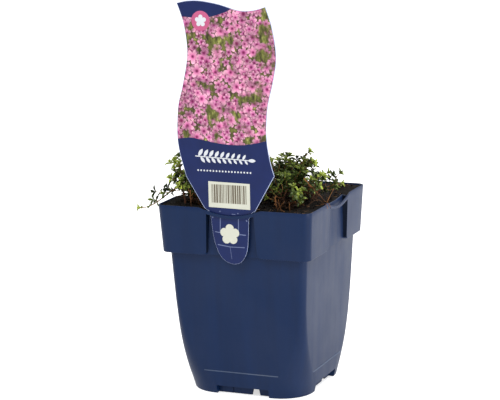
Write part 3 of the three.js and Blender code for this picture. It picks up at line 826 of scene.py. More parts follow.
@dataclass
class PotForm:
    """The form that the pot and its soil share."""

    height: float = 143.0
    wall: float = 1.2
    body: tuple[Section, ...] = (
        Section(0, 46.5, 24),
        Section(8, 47.95, 23),
        Section(18, 49.15, 19),
        Section(30, 49.95, 13.8),
        Section(45, 50.55, 8.6),
        Section(62, 51.2, 5.6),
        Section(107.5, 53.65, 5),
    )
    band_foot: Section = Section(107.5, 58, 6, 58 - 55.3, 19.2)
    band_top: Section = Section(143, 60, 6, 60 - 55.9, 17.5)
    recess_slant: float = 0.7
    recess_corner: float = 3.0
    recess_shifts: tuple[float, ...] = (1.7, 0.0, 0.0, -1.7)
    strap_dip: float = 4.9
    back_dip: float = 2.6
    strap_half_span: float = 23.5
    ledge_top: float = 18.2
    ledge_height: float = 0.65
    ledge_depth: float = 0.42
    ledge_fade: float = 3.0
    corner_steps: int = 12

    def body_at(self, z: float) -> Section:
        """The body's section at a height, on a smooth curve through the stated ones.

        Args:
            z: the height.

        Returns:
            The section there.
        """
        heights = [section.z for section in self.body]
        return Section(
            z,
            smooth_value(z, heights, [section.half for section in self.body]),
            smooth_value(z, heights, [section.radius for section in self.body]),
        )

    def band_at(self, z: float) -> Section:
        """The rim band's section at a height.

        Args:
            z: the height.

        Returns:
            The section there.
        """
        low, high = self.band_foot, self.band_top
        share = (z - low.z) / (high.z - low.z)
        keys = ("half", "radius", "recess", "recess_half")
        return Section(z, *(lerp(getattr(low, key), getattr(high, key), share) for key in keys))

    def dip_share(self, x: float) -> float:
        """Share of its full dip that the rim has at a distance from the middle of a recess."""
        return max(0.0, 1 - (x / self.strap_half_span) ** 2)

    def proud(self, z: float, distance: float, centre: float) -> float:
        """How far the foot's moulded ledge stands out from a side.

        Args:
            z: the height.
            distance: the distance from the side's middle.
            centre: the distance at which the side's corner begins.

        Returns:
            The distance, in millimetres.
        """
        rise = min(1.0, max(0.0, (self.ledge_top - z) / self.ledge_height))
        fade = min(1.0, max(0.0, (centre - distance) / self.ledge_fade))
        return self.ledge_depth * rise * fade

    def recess_profile(self, section: Section, offset: float) -> list[tuple[float, float]]:
        """The half profile of a side, from beyond its recess to the recess's middle.

        Args:
            section: the outside's section.
            offset: how far the profile lies inside it.

        Returns:
            Points' distances from the side's middle, each with its share of the recess's depth.
        """
        half = section.recess_half + offset
        above_foot = section.z - self.band_foot.z
        if offset == 0.0 and 0.0 <= above_foot < self.recess_corner:
            rest = self.recess_corner - above_foot
            half += self.recess_corner - math.sqrt(self.recess_corner**2 - rest**2)
        edge = half + self.recess_slant
        beside = [(distance, 0.0) for distance in (31.0, 28.0, 24.4)]
        lip = [(edge + 0.5, 0.0), (edge + 0.35, 0.0), (edge + 0.1, 0.02), (edge - 0.06, 0.1)]
        foot = [(half + 0.06, 0.93), (half - 0.08, 0.985), (half - 0.4, 1.0)]
        return [*beside, *lip, *foot, (12.0, 1.0), (5.0, 1.0)]

    def ring(self, section: Section, offset: float = 0.0, follows_rim: bool = False) -> np.ndarray:
        """Points round the pot at a section.

        Args:
            section: the outside's section.
            offset: how far the ring lies inside it.
            follows_rim: whether the ring dips over the straps as the rim does.

        Returns:
            An array of points in millimetres, counter-clockwise from above.
        """
        edge = section.half - offset
        corner = max(section.radius - offset, 0.5)
        centre = edge - corner
        arc = []
        for step in range(self.corner_steps + 1):
            angle = -math.pi / 2 + step / self.corner_steps * math.pi / 2
            arc.append((centre + corner * math.cos(angle), -centre + corner * math.sin(angle), section.z))
        profile = self.recess_profile(section, offset)
        along_side = [(-distance, share) for distance, share in profile]
        along_side += [(distance, share) for distance, share in profile[::-1]]
        sides = []
        for number, shift in enumerate(self.recess_shifts):
            points = list(arc)
            for distance, share in along_side:
                limit = centre - 0.3 - 0.01 * (32 - abs(distance))
                along = min(limit, max(-limit, shift + distance))
                proud = self.proud(section.z, abs(along), centre) if offset == 0.0 else 0.0
                dip = 0.0
                if follows_rim:
                    dip = lerp(self.strap_dip, self.back_dip, share) * self.dip_share(distance)
                points.append((edge + proud - section.recess * share, along, section.z - dip))
            sides.append(np.array(points) @ quarter_turn(number))
        return np.vstack(sides)


def quarter_turn(number: int) -> np.ndarray:
    """The matrix that, put behind an array of points, turns them so many quarter turns round the axis."""
    return np.linalg.matrix_power(np.array([[0, 1, 0], [-1, 0, 0], [0, 0, 1]]), number)


def smooth_value(z: float, heights: Sequence[float], values: Sequence[float]) -> float:
    """A value at a height, on a smooth cubic curve through known ones.

    Args:
        z: the height.
        heights: the known heights, from the lowest to the highest.
        values: the value at each of them.

    Returns:
        The value at the height.
    """
    slopes = np.gradient(np.array(values, dtype=float), np.array(heights, dtype=float))
    z = min(max(z, heights[0]), heights[-1])
    upper = max(1, int(np.searchsorted(heights, z)))
    low, high = heights[upper - 1], heights[upper]
    span = high - low
    t = (z - low) / span
    first = (1 + 2 * t) * (1 - t) ** 2 * values[upper - 1] + t * (1 - t) ** 2 * span * slopes[upper - 1]
    second = t * t * (3 - 2 * t) * values[upper] + t * t * (t - 1) * span * slopes[upper]
    return float(first + second)


class PotFinish(IntEnum):
    """The pot's plain plastic, its darker plastic that is painted shade and its lighter plastic that is a
    painted highlight, numbered as the slots of its mesh.
    """

    PLASTIC = 0
    SHADED = 1
    LEDGE = 2


@dataclass
class Pot:
    """The moulded pot."""

    form: PotForm
    floor: float = 6.5
    skirt: float = 2.5
    foot_round: float = 0.3
    strap_height: float = 2.3
    strap_thickness: float = 1.4
    strap_round: float = 0.4
    strap_sink: float = 0.7
    strap_swell: float = 0.5
    notch_half: float = 20.7
    notch_depth: float = 4.0
    notch_lift: float = 0.1
    split: float = -9.0
    split_half: float = 0.3
    channel_offset: float = 9.0
    channel_foot: float = 6.5
    channel_top: float = 3.6
    rib: float = 1.8
    rib_sink: float = 0.4
    pad_radius: float = 7.0
    hole_radius: float = 2.8
    holes: tuple[tuple[float, float], ...] = ((15, 33), (27, 19))
    body_heights: tuple[float, ...] = (
        0.4, 2, 5, 8, 11, 14, 17.2, 17.52, 17.62, 18.12, 18.2, 18.6, 21, 25, 30, 36, 45, 55, 70, 90, 107.5,
    )
    recess_cheek: tuple[float, float] = (15.0, 24.0)
    plastic: MouldedPlastic = MouldedPlastic("plastic_pot", srgb(4, 28, 62), gloss=0.44, dust=0.012, ior=1.26)
    # Darker, duller plastic: painted shade on the cheeks of the notches and of the rim band's recesses.
    shaded: MouldedPlastic = MouldedPlastic("plastic_shaded", srgb(5, 14, 30), gloss=0.6, dust=0.02, ior=1.1)
    # Lighter, dustier plastic: a painted highlight along the moulded ledge at the foot.
    ledge: MouldedPlastic = MouldedPlastic("plastic_ledge", srgb(58, 70, 92), gloss=0.4, dust=0.1, ior=1.23)

    def shell(self) -> bpy.types.Object:
        """Makes the pot's wall and floor as one closed skin: up outside, over the rim, and down inside.

        Returns:
            The new piece.
        """
        form = self.form
        foot = form.body_at(0.0)
        under = ((self.floor, self.skirt), (self.foot_round, self.skirt))
        under += ((0.0, self.skirt - self.foot_round), (0.0, self.foot_round))
        rings = [form.ring(Section(z, foot.half, foot.radius), offset) for z, offset in under]
        rings += [form.ring(form.body_at(z)) for z in self.body_heights]
        band = form.band_foot
        for rise, inset in ((0.0, 0.3), (0.08, 0.1)):
            rings += [form.ring(Section(band.z + rise, band.half - inset, band.radius, band.recess - inset))]
        rings += [form.ring(form.band_at(band.z + rise)) for rise in (0.3, 0.8, 1.5, 2.3, 3.1, 8, 20, 32)]
        rim = ((0.5, 0.0), (0.15, 0.15), (0.0, 0.45), (0.0, 0.75), (0.15, 1.05), (0.5, form.wall))
        for drop, offset in rim:
            rings.append(form.ring(form.band_at(form.height - drop), offset, follows_rim=True))
        shoulder = band.z + form.wall
        rings += [form.ring(form.band_at(z), form.wall) for z in (138.0, 120.0, shoulder)]
        inside = (shoulder, 80, 50, 30, 18, self.floor + form.wall)
        rings += [form.ring(form.body_at(z), form.wall) for z in inside]
        return skin_over_rings("pot_moulded", rings)

    def straps(self) -> bpy.types.Object:
        """Makes the strap over each recess: a rounded strip that dips in the middle.

        Returns:
            The four straps as one piece.
        """
        strap = self.strap()
        turned = []
        for number, shift in enumerate(self.form.recess_shifts):
            turn = Matrix.Rotation((number + 1) * math.pi / 2, 4, "Z")
            turned.append(duplicate(strap, turn @ Matrix.Translation((shift * MM, 0, 0))))
        bpy.data.objects.remove(strap)
        return joined("straps", turned)

    def strap(self) -> bpy.types.Object:
        """Makes one strap, in the middle of the front side.

        Returns:
            The new piece.
        """
        form = self.form
        reach = form.band_top.recess_half + form.recess_slant + self.strap_sink
        face = -form.band_top.half + 0.02
        rounding = self.strap_round
        rings = []
        for x in np.linspace(-reach, reach, 25):
            top = form.height - form.strap_dip * form.dip_share(x)
            low = top - self.strap_height - self.strap_swell * (abs(x) / reach) ** 4
            profile = []
            for is_back, is_top, start in ((1, 1, 0), (0, 1, 1), (0, 0, 2), (1, 0, 3)):
                y = face + (self.strap_thickness - rounding if is_back else rounding)
                z = top - rounding if is_top else low + rounding
                for step in (0, 0.25, 0.5, 0.75, 1):
                    angle = (start + step) * math.pi / 2
                    profile.append((x, y + rounding * math.cos(angle), z + rounding * math.sin(angle)))
            rings.append(np.array(profile))
        return skin_over_rings("strap", rings)

    def underfloor(self) -> list[bpy.types.Object]:
        """Makes the notches' back walls, the crossed ribs and the pad under the floor.

        Returns:
            The pieces to join to the pot.
        """
        outer = self.form.body[0].half
        reach = outer - self.skirt + 0.8
        half = self.rib / 2
        top = self.floor + self.rib_sink
        wide = self.notch_half + self.form.wall
        front = self.skirt - outer - 0.4
        back = self.notch_depth + self.form.wall - outer
        backing = block("backing", (-wide, front, self.notch_lift), (wide, back, top + APART))
        return [
            on_four_sides("backings", backing),
            block("rib_across", (-reach, -half, 0.06), (reach, half, top)),
            block("rib_along", (-half, -reach, 0.03), (half, reach, top + 2 * APART)),
            post("pad", 0, 0, 0, top + 3 * APART, self.pad_radius),
        ]

    def cutters(self) -> list[bpy.types.Object]:
        """Makes what is cut away at the foot: notches, the seams in them, drain channels and drain holes.

        Returns:
            The solids to cut with.
        """
        ahead = 3.0
        face = -self.form.body[0].half
        back = face + self.notch_depth
        top = self.floor - 0.1
        half, middle, split = self.notch_half, self.channel_offset, self.split_half
        wide, narrow = self.channel_foot / 2 + 0.25, self.channel_top / 2
        outline = [(middle - wide, -1), (middle + wide, -1), (middle + narrow, top), (middle - narrow, top)]
        notch = block("notch", (-half, face - ahead, -1), (half, back, top))
        low, high = (self.split - split, back - 1, -1.1), (self.split + split, back + 0.5, top - 0.1)
        seam = block("seam", low, high)
        depth = self.notch_depth + self.form.wall + ahead + 2
        channel = plate("channel", outline, face - ahead - 0.1, depth)
        holes = [post("hole", x, y, 1, self.floor + 4, self.hole_radius) for x, y in self.holes]
        return [on_four_sides(piece.name, piece) for piece in (notch, seam, channel, *holes)]

    def build(self) -> bpy.types.Object:
        """Makes the pot and dresses it.

        Returns:
            The pot.
        """
        pot = self.shell()
        for other in (self.straps(), *self.underfloor()):
            combined(pot, other, "UNION")
        for cutter in self.cutters():
            combined(pot, cutter, "DIFFERENCE")
        smoothed(pot, 25.0)
        # Darker plastic is painted shade in the notches and recesses; lighter plastic is a painted highlight
        # on the foot's ledge.
        for face in pot.data.polygons:
            face.material_index = self.finish_of(face)
        finishes = {
            PotFinish.PLASTIC: self.plastic,
            PotFinish.SHADED: self.shaded,
            PotFinish.LEDGE: self.ledge,
        }
        return placed(pot, [finishes[number].make() for number in PotFinish], ["pot"])

    def finish_of(self, face: bpy.types.MeshPolygon) -> PotFinish:
        """Gives the cheeks of notches and recesses darker plastic as painted shade, the moulded ledge lighter
        plastic as a painted highlight, and the rest plain plastic.

        Args:
            face: a face of the pot.

        Returns:
            The face's finish.
        """
        form, foot = self.form, self.form.body[0]
        centre = foot.half - foot.radius
        x, y, z = (abs(value) / MM for value in face.center)
        outward = abs(face.normal.x if x > y else face.normal.y)
        inset = foot.half
        if x > centre or y > centre:
            corner = math.hypot(max(x - centre, 0), max(y - centre, 0)) - foot.radius
            inset = -max(corner, max(x, y) - foot.half)
        # Notch walls under the floor: painted shade.
        if z < self.floor + 0.2 and inset > self.skirt - 1 and outward < 0.8:
            return PotFinish.SHADED
        # Cheeks beside the rim band's recesses: painted shade.
        beside_recess = self.recess_cheek[0] < min(x, y) < self.recess_cheek[1]
        if z > form.band_foot.z and beside_recess and outward < 0.6 and abs(face.normal.z) < 0.5:
            return PotFinish.SHADED
        # The ledge's upward faces: painted highlight.
        if form.ledge_top - form.ledge_height < z < form.ledge_top and face.normal.z > 0.12:
            return PotFinish.LEDGE
        return PotFinish.PLASTIC


# ---------------------------------------------------------------- soil


class SeededSource:
    """The frame's own seeded source of random numbers from 0 to 1."""

    def __init__(self, seed: int) -> None:
        """Starts from a seed."""
        self.state = seed

    def draw(self) -> float:
        """The next number."""
        self.state = self.state * 48271 % 2147483647
        return self.state / 2147483647


@dataclass
class Soil:
    """The potting soil, with clods and bits of wood on it."""

    form: PotForm
    level: float = 140.2
    mound: float = 0.7
    waves: tuple[float, float] = (0.5, 0.4)
    gap: float = 0.3
    roughness: float = 0.8
    bank: float = 1.9
    rings: int = 34
    bare_margin: float = 6.5
    clods: int = 620
    clod_size: tuple[float, float] = (0.7, 2.6)
    splinters: int = 150
    splinter_length: tuple[float, float] = (1.5, 6.0)
    splinter_width: tuple[float, float] = (0.25, 0.6)
    splinter_height: tuple[float, float] = (0.2, 0.45)
    earth: Earth = Earth("earth")
    wood: Foliage = Foliage("old_wood", srgb(34, 24, 18), srgb(78, 54, 38), srgb(138, 104, 72), gloss=0.8)

    def height(self, x: float, y: float) -> float:
        """Height of the surface without its fine roughness, as in the frame.

        Args:
            x: where, in millimetres.
            y: where.

        Returns:
            The height, in millimetres.
        """
        centre = max(0.0, 1 - (x * x + y * y) / 60**2)
        broad, narrow = self.waves
        waves = broad * math.sin(x / 7.1 + 1.3) * math.cos(y / 8.3) + narrow * math.sin((x + y) / 4.7)
        return self.level + self.mound * centre + waves

    def banked(self, x: float, y: float) -> float:
        """How far the soil is banked up against the left and back walls, from 0 to 1."""
        share = min(1.0, max(0.0, (max(-x, y) - 38) / 14))
        return share * share * (3 - 2 * share)

    def rough_height(self, x: float, y: float) -> float:
        """Height of the surface with lumps of several sizes.

        Args:
            x: where, in millimetres.
            y: where.

        Returns:
            The height, in millimetres.
        """
        lumps = self.bank / self.roughness * self.banked(x, y)
        for size, share in ((5.2, 0.5), (2.6, 0.32), (1.3, 0.18)):
            across = math.sin(x / size + 2.1 * math.sin(y / size * 0.7))
            along = math.cos(y / size * 1.3 + 1.7 * math.sin(x / size * 0.6))
            lumps += share * across * along
        return self.height(x, y) + self.roughness * lumps

    def surface(self) -> bpy.types.Object:
        """Makes the fill: up along the pot's inside, then in rings over the surface to the middle.

        Returns:
            The new piece.
        """
        form = self.form
        offset = form.wall + self.gap
        ledge = form.band_foot.z + offset
        rings = [form.ring(form.body_at(z), offset) for z in (8, 40, 80, ledge)]
        rings += [form.ring(form.band_at(z), offset) for z in (ledge, 125)]
        edge = form.ring(form.band_at(self.level), offset)
        for share in np.linspace(1.0, 0.015, self.rings):
            ring = edge * (share, share, 1)
            drop = 6 * max(0.0, share - 0.9)
            ring[:, 2] = [self.rough_height(x, y) - drop * (1 - self.banked(x, y)) for x, y, _ in ring]
            rings.append(ring)
        return skin_over_rings("soil_fill", rings)

    def clod(self) -> Shape:
        """A lump of soil, about one across.

        Returns:
            Its vertices and faces.
        """
        deselect_all()
        bpy.ops.mesh.primitive_ico_sphere_add(subdivisions=1, radius=0.5)
        return take_template(bpy.context.object)

    def build(self) -> None:
        """Makes the soil with its clods and splinters and dresses them."""
        random = np.random.default_rng(SOIL_SEED)
        fill = self.surface()
        smoothed(fill, 60.0)
        placed(fill, [self.earth.make()], ["soil"])
        inside = self.form.band_at(self.level).half - self.form.wall - self.bare_margin
        lump = self.clod()
        scatter = Scatter("soil_clods")
        for _ in range(self.clods):
            x, y = random.uniform(-inside, inside, 2)
            size = random.uniform(*self.clod_size) * (0.6 + 0.4 * random.random())
            scale = size * random.uniform(0.6, 1.1, 3)
            turn = tumbled(random, "X", 0, 6.28)
            scatter.add(lump, turn * scale, (x, y, self.rough_height(x, y) + 0.15 * size), 0.5)
        placed(scatter.build(), [bpy.data.materials[self.earth.name]])
        stick = Scatter("soil_splinters")
        shape = self.splinter()
        for _ in range(self.splinters):
            x, y = random.uniform(-inside, inside, 2)
            turn = tumbled(random, "Y", -0.35, 0.35)
            sizes = (self.splinter_length, self.splinter_width, self.splinter_height)
            scale = [random.uniform(*limits) for limits in sizes]
            stick.add(shape, turn * scale, (x, y, self.rough_height(x, y) + 0.5), random.random())
        placed(stick.build(), [self.wood.make()])

    def splinter(self) -> Shape:
        """A splinter of wood, one long and about one across.

        Returns:
            Its vertices and faces.
        """
        deselect_all()
        bpy.ops.mesh.primitive_cylinder_add(vertices=5, radius=0.5, depth=1.0, rotation=(0, math.pi / 2, 0))
        piece = settle(bpy.context.object)
        for vertex in piece.data.vertices:
            if vertex.co.x > 0:
                vertex.co.yz *= 0.55
        return take_template(piece)


def take_template(piece: bpy.types.Object) -> Shape:
    """Takes the mesh of a modelled shape that will be repeated.

    Args:
        piece: the modelled shape, which is removed.

    Returns:
        Its vertices and faces.
    """
    vertices = np.array([vertex.co[:] for vertex in piece.data.vertices])
    faces = [tuple(polygon.vertices) for polygon in piece.data.polygons]
    bpy.data.objects.remove(piece)
    return vertices, faces


def tumbled(random: np.random.Generator, axis: str, low: float, high: float) -> np.ndarray:
    """Draws a turn about the upright axis, after a tip about another.

    Args:
        random: the source of both angles.
        axis: the other axis.
        low: the smallest tip.
        high: the largest tip.

    Returns:
        A 3 by 3 matrix.
    """
    spin = Matrix.Rotation(random.uniform(0, 6.28), 3, "Z")
    return np.array(spin @ Matrix.Rotation(random.uniform(low, high), 3, axis))


def bezier(knots: Iterable[Point], t: np.ndarray) -> np.ndarray:
    """Points of a cubic curve.

    Args:
        knots: its start, its two bends and its end.
        t: shares of the way along it, as a column.

    Returns:
        The point at each share.
    """
    weights = ((1 - t) ** 3, 3 * t * (1 - t) ** 2, 3 * t * t * (1 - t), t**3)
    return sum(weight * np.array(knot, dtype=float) for weight, knot in zip(weights, knots))


class Scatter:
    """Many placed copies of small shapes as one mesh, each with a tint and a material number."""

    def __init__(self, name: str) -> None:
        """Starts empty.

        Args:
            name: the name of the mesh to come.
        """
        self.name = name
        self.vertices: list[np.ndarray] = []
        self.faces: list[tuple[int, ...]] = []
        self.tints: list[np.ndarray] = []
        self.slots: list[int] = []
        self.count = 0

    def add(
        self,
        shape: Shape,
        turn: np.ndarray,
        where: Sequence[float],
        tint: float | Sequence[float],
        slot: int = 0,
    ) -> None:
        """Adds a copy of a shape.

        Args:
            shape: its vertices and faces.
            turn: a 3 by 3 matrix that sizes and turns it, in millimetres.
            where: its place, in millimetres.
            tint: its tint, or one for each vertex.
            slot: its material slot.
        """
        vertices, faces = shape
        self.vertices.append(vertices @ np.asarray(turn).T + np.asarray(where))
        self.faces.extend(tuple(index + self.count for index in face) for face in faces)
        self.tints.append(np.full(len(vertices), tint) if np.isscalar(tint) else np.asarray(tint))
        self.slots.extend([slot] * len(faces))
        self.count += len(vertices)

    def build(self) -> bpy.types.Object:
        """Makes the mesh with all copies, shaded smooth.

        Returns:
            The new piece.
        """
        mesh = bpy.data.meshes.new(self.name)
        mesh.from_pydata((np.vstack(self.vertices) * MM).tolist(), [], self.faces)
        tint = mesh.attributes.new("tint", "FLOAT", "POINT")
        tint.data.foreach_set("value", np.concatenate(self.tints).astype(np.float32))
        mesh.polygons.foreach_set("material_index", self.slots)
        mesh.polygons.foreach_set("use_smooth", [True] * len(mesh.polygons))
        mesh.update()
        piece = bpy.data.objects.new(self.name, mesh)
        bpy.context.collection.objects.link(piece)
        return piece


# ---------------------------------------------------------------- tag


class Layer(IntEnum):
    """A print's place in the stack of inks, counted outwards from the card's dark blue ground."""

    PICTURE = 1
    FIELD = 2
    MOTIF = 3
    TOP = 4


@dataclass(frozen=True)
class Sprig:
    """The printed sprig's stalk and leaves, and the row of dots below it."""

    foot: tuple[float, float] = (-28.0, 180.5)
    tip: tuple[float, float] = (13.0, 179.0)
    stalk: float = 0.7
    pairs: int = 9
    first_pair: float = -25.5
    pair_pitch: float = 4.3
    leaf_length: float = 6.4
    leaf_shrink: float = 0.25
    end_leaf: float = 6.0
    dots: int = 18
    first_dot: float = -26.0
    dot_pitch: float = 2.4
    dot_height: float = 170.2
    dot_radius: float = 0.66


@dataclass(frozen=True)
class Stripes:
    """The made-up stripes' margins on their panel, and the ranges of their widths and gaps."""

    left: float = 2.4
    right: float = 3.2
    below: float = 3.4
    above: float = 2.0
    thin: float = 0.34
    width: float = 1.1
    gap: float = 0.5
    seed: int = 97


# The pale slits and creases in the tongue: X and Z of each one's ends, and its width.
TONGUE_CUTS = (
    (-9.6, 136.5, -9.9, 125.0, 0.6),
    (4.6, 136.5, 4.4, 125.0, 0.6),
    (-14.0, 125.6, -10.2, 125.2, 0.6),
    (5.0, 124.6, 10.2, 124.4, 0.7),
    (-12.0, 116.2, -2.4, 115.0, 0.6),
    (-2.4, 115.0, 9.0, 115.2, 0.5),
    (-2.4, 114.8, -1.2, 106.0, 0.25),
    (-9.7, 141.2, -9.7, 140.4, 0.8),
    (4.3, 140.4, 4.3, 139.6, 0.8),
    (-0.6, 139.3, 2.4, 139.2, 0.4),
    (-15.6, 136.6, -15.4, 135.6, 0.9),
    (10.9, 135.6, 11.1, 134.4, 0.9),
)


@dataclass
class Tag:
    """The plant tag: a waved card whose tongue goes down behind the front strap."""

    face: float = -58.3
    thickness: float = 0.6
    ink: float = 0.03
    margin: float = 0.3
    right: Outline = (
        (28.6, 288.6), (33.3, 274), (36.1, 254), (33.6, 237),
        (29, 218), (27.6, 198), (29.7, 180.6), (33, 168.6),
    )
    left: Outline = (
        (-35.5, 165), (-40.3, 182.7), (-41.8, 197), (-40.3, 217),
        (-36.3, 232), (-32.2, 254), (-34.2, 275), (-39.3, 290.4),
    )
    top: Outline = (
        (-39.3, 290.4), (-31, 292), (-21, 292.1), (-7, 289.9), (8, 285.8), (19, 286), (28.6, 288.6),
    )
    right_neck: Outline = ((17.8, 142.5), (15, 140.7))
    left_neck: Outline = ((-18.5, 140.7), (-21.7, 142.5))
    tongue: Outline = (
        (12.6, 136), (12.1, 124.7), (11.2, 114.4), (9.6, 109.2), (7.5, 105.7), (4.8, 103.5), (1.1, 102.5),
        (-3, 103), (-7, 105), (-10.5, 108.6), (-13.1, 114.5), (-15.2, 122), (-16.9, 136),
    )
    picture_foot: Outline = (
        (-45, 192), (-31.6, 193.7), (-21.4, 192.3), (-8.1, 190.3), (5.9, 189.8), (18.3, 191.5), (36, 196),
    )
    cap_foot: Outline = (
        (-45, 281.5), (-36, 280.9), (-25.1, 280), (-15.7, 280.5), (-5.6, 283.2), (1.3, 286), (5, 290),
    )
    panel: tuple[float, float, float, float] = (-18.3, 14.0, 143.6, 162.5)
    panel_fall: float = 0.4
    roundel: tuple[float, float, float] = (-21.0, 278.0, 7.1)
    roundel_flower: float = 4.4
    patch: tuple[float, float, float] = (-2.4, 124.2, 7.6)
    tongue_margin: float = 0.35
    sprig_sizes: Sprig = Sprig()
    stripe_sizes: Stripes = Stripes()
    navy: Print = Print("ink_navy", srgb(10, 26, 72))
    edge: Print = Print("card_edge", srgb(150, 160, 190))
    cut: Print = Print("card_cut", srgb(92, 102, 134), 0.2)
    cream: Print = Print("ink_cream", srgb(182, 183, 170), 0.03)
    brown: Print = Print("ink_brown", srgb(92, 84, 70), 0.08)
    white: Print = Print("ink_white", srgb(190, 193, 198), 0.03)
    pink: Print = Print("ink_pink", srgb(170, 80, 116), 0.06)
    blossoms: BlossomPrint = BlossomPrint("ink_blossoms")

    def spline(self, points: Outline, steps: int = 8) -> list[tuple[float, float]]:
        """Puts a smooth curve through points.

        Args:
            points: the points.
            steps: how many steps the curve takes from each to the next.

        Returns:
            The curve's points.
        """
        ends = [points[0], *points, points[-1]]
        curve = []
        for four in zip(ends, ends[1:], ends[2:], ends[3:]):
            for step in range(steps):
                t = step / steps
                point = []
                for a, b, c, d in zip(*four):
                    square, cube = 2 * a - 5 * b + 4 * c - d, 3 * b - a - 3 * c + d
                    point.append(0.5 * (2 * b + (c - a) * t + square * t**2 + cube * t**3))
                curve.append(tuple(point))
        return curve + [points[-1]]

    def outline(self) -> list[tuple[float, float]]:
        """The whole card: down its right side, round the tongue, up its left side and along its top.

        Returns:
            The outline's points.
        """
        right, left, top = (self.spline(edge) for edge in (self.right, self.left, self.top))
        return [*right, *self.right_neck, *self.spline(self.tongue), *self.left_neck, *left, *top[1:-1]]

    def print_plate(self, name: str, outline: Outline, layer: Layer) -> bpy.types.Object:
        """A printed area: a film on the card's face, further out for a higher layer."""
        return plate(name, outline, self.face - self.ink * layer, self.ink * 0.9)

    def clipped(self, name: str, foot: Outline, layer: Layer) -> bpy.types.Object:
        """Makes a printed area of the part of the card's face above a curve.

        Args:
            name: the piece's name.
            foot: points of the curve.
            layer: the print's layer.

        Returns:
            The new piece.
        """
        area = self.print_plate(name, self.inset(self.outline(), self.margin), layer)
        keep = plate("keep", [*self.spline(foot), (60, 310), (-60, 310)], self.face - 3, 6)
        return combined(area, keep, "INTERSECT")

    def inset(self, outline: Outline, margin: float) -> list[tuple[float, float]]:
        """Moves an outline inwards, less so round the tongue.

        Args:
            outline: the outline.
            margin: how far, in millimetres.

        Returns:
            The new outline.
        """
        points = np.array(outline)
        narrow = np.where(points[:, 1:] < self.panel[2] - 4, self.tongue_margin, 1.0)
        ahead, behind = np.roll(points, -1, axis=0), np.roll(points, 1, axis=0)
        along = ahead - behind
        along /= np.maximum(np.linalg.norm(along, axis=1, keepdims=True), 1e-6)
        inward = np.stack([along[:, 1], -along[:, 0]], axis=1)
        return [tuple(point) for point in points + inward * margin * narrow]

    def disc(self, x: float, z: float, radius: float, steps: int = 40) -> list[tuple[float, float]]:
        """The outline of a disc."""
        turns = [2 * math.pi * step / steps for step in range(steps)]
        return [(x + radius * math.cos(a), z + radius * math.sin(a)) for a in turns]

    def petals(self, x: float, z: float, radius: float, depth: float = 0.42) -> list[tuple[float, float]]:
        """Draws a simple flower of five petals.

        Args:
            x: its middle's X.
            z: its middle's Z.
            radius: how far the petals reach.
            depth: share of that by which the outline dips between them.

        Returns:
            The outline's points.
        """
        count = 5
        points = []
        for step in range(count * 14):
            angle = 2 * math.pi * step / (count * 14) + math.pi / 2
            lobe = abs(math.cos(count * (angle - math.pi / 2) / 2)) ** 0.7
            reach = radius * (1 - depth + depth * lobe)
            points.append((x + reach * math.cos(angle), z + reach * math.sin(angle)))
        return points

    def leaf(self, x: float, z: float, length: float, angle: float) -> list[tuple[float, float]]:
        """Draws a small pointed leaf.

        Args:
            x: its foot's X.
            z: its foot's Z.
            length: its length.
            angle: its angle from the X axis.

        Returns:
            The outline's points.
        """
        cos, sin = math.cos(angle), math.sin(angle)
        points = []
        for side in (1, -1):
            for step in range(9):
                t = step / 8 if side == 1 else 1 - step / 8
                wide = side * 0.42 * length * 0.5 * math.sin(math.pi * t) ** 0.8
                points.append((x + t * length * cos - wide * sin, z + t * length * sin + wide * cos))
        return points[:-1]

    def stroke(self, x0: float, z0: float, x1: float, z1: float, width: float) -> list[tuple[float, float]]:
        """Draws a straight stroke.

        Args:
            x0: its start's X.
            z0: its start's Z.
            x1: its end's X.
            z1: its end's Z.
            width: its width.

        Returns:
            The outline's points.
        """
        length = math.hypot(x1 - x0, z1 - z0)
        nx, nz = -(z1 - z0) / length * width / 2, (x1 - x0) / length * width / 2
        return [(x0 - nx, z0 - nz), (x1 - nx, z1 - nz), (x1 + nx, z1 + nz), (x0 + nx, z0 + nz)]

    def sprig(self) -> list[bpy.types.Object]:
        """Makes the white sprig and the row of dots printed over the panel.

        Returns:
            The printed areas.
        """
        sizes = self.sprig_sizes
        (x0, z0), (x1, z1) = sizes.foot, sizes.tip
        leaves = []
        for number in range(sizes.pairs):
            x = sizes.first_pair + number * sizes.pair_pitch
            z = lerp(z0, z1, (x - x0) / (x1 - x0))
            length = sizes.leaf_length - sizes.leaf_shrink * number
            leaves += [self.leaf(x, z + 0.2, length, 1.0), self.leaf(x + 1.6, z - 0.2, length * 0.85, -0.9)]
        leaves.append(self.leaf(x1, z1, sizes.end_leaf, 0.0))
        pieces = [self.print_plate("sprig_stem", self.stroke(x0, z0, x1, z1, sizes.stalk), Layer.FIELD)]
        pieces += [self.print_plate("sprig_leaf", leaf, Layer.FIELD) for leaf in leaves]
        for number in range(sizes.dots):
            x = sizes.first_dot + number * sizes.dot_pitch
            dot = self.disc(x, sizes.dot_height, sizes.dot_radius, 10)
            pieces.append(self.print_plate("dot", dot, Layer.FIELD))
        return pieces

    def stripes(self) -> list[bpy.types.Object]:
        """Makes the upright stripes on the cream panel, of several widths.

        Returns:
            The printed areas.
        """
        left, right, low, high = self.panel
        sizes = self.stripe_sizes
        random = SeededSource(sizes.seed)
        low, high = low + sizes.below, high - sizes.above
        x = left + sizes.left
        pieces = []
        while x < right - sizes.right:
            end = x + (sizes.thin + sizes.width * random.draw() ** 2)
            bar = [(x, low), (end, low), (end, high), (x, high)]
            pieces.append(self.print_plate("stripe", bar, Layer.MOTIF))
            x = end + sizes.thin + sizes.gap * random.draw()
        return pieces

    def tongue_cuts(self) -> list[bpy.types.Object]:
        """The pale slits and creases in the tongue, as printed areas."""
        return [self.print_plate("tongue_cut", self.stroke(*stroke), Layer.PICTURE) for stroke in TONGUE_CUTS]

    def dress(
        self,
        name: str,
        pieces: Sequence[bpy.types.Object],
        ink: Print | BlossomPrint,
        nodes: Sequence[str] = (),
    ) -> bpy.types.Object:
        """Joins areas of one colour and dresses them."""
        return placed(joined(name, pieces), [ink.make()], nodes)

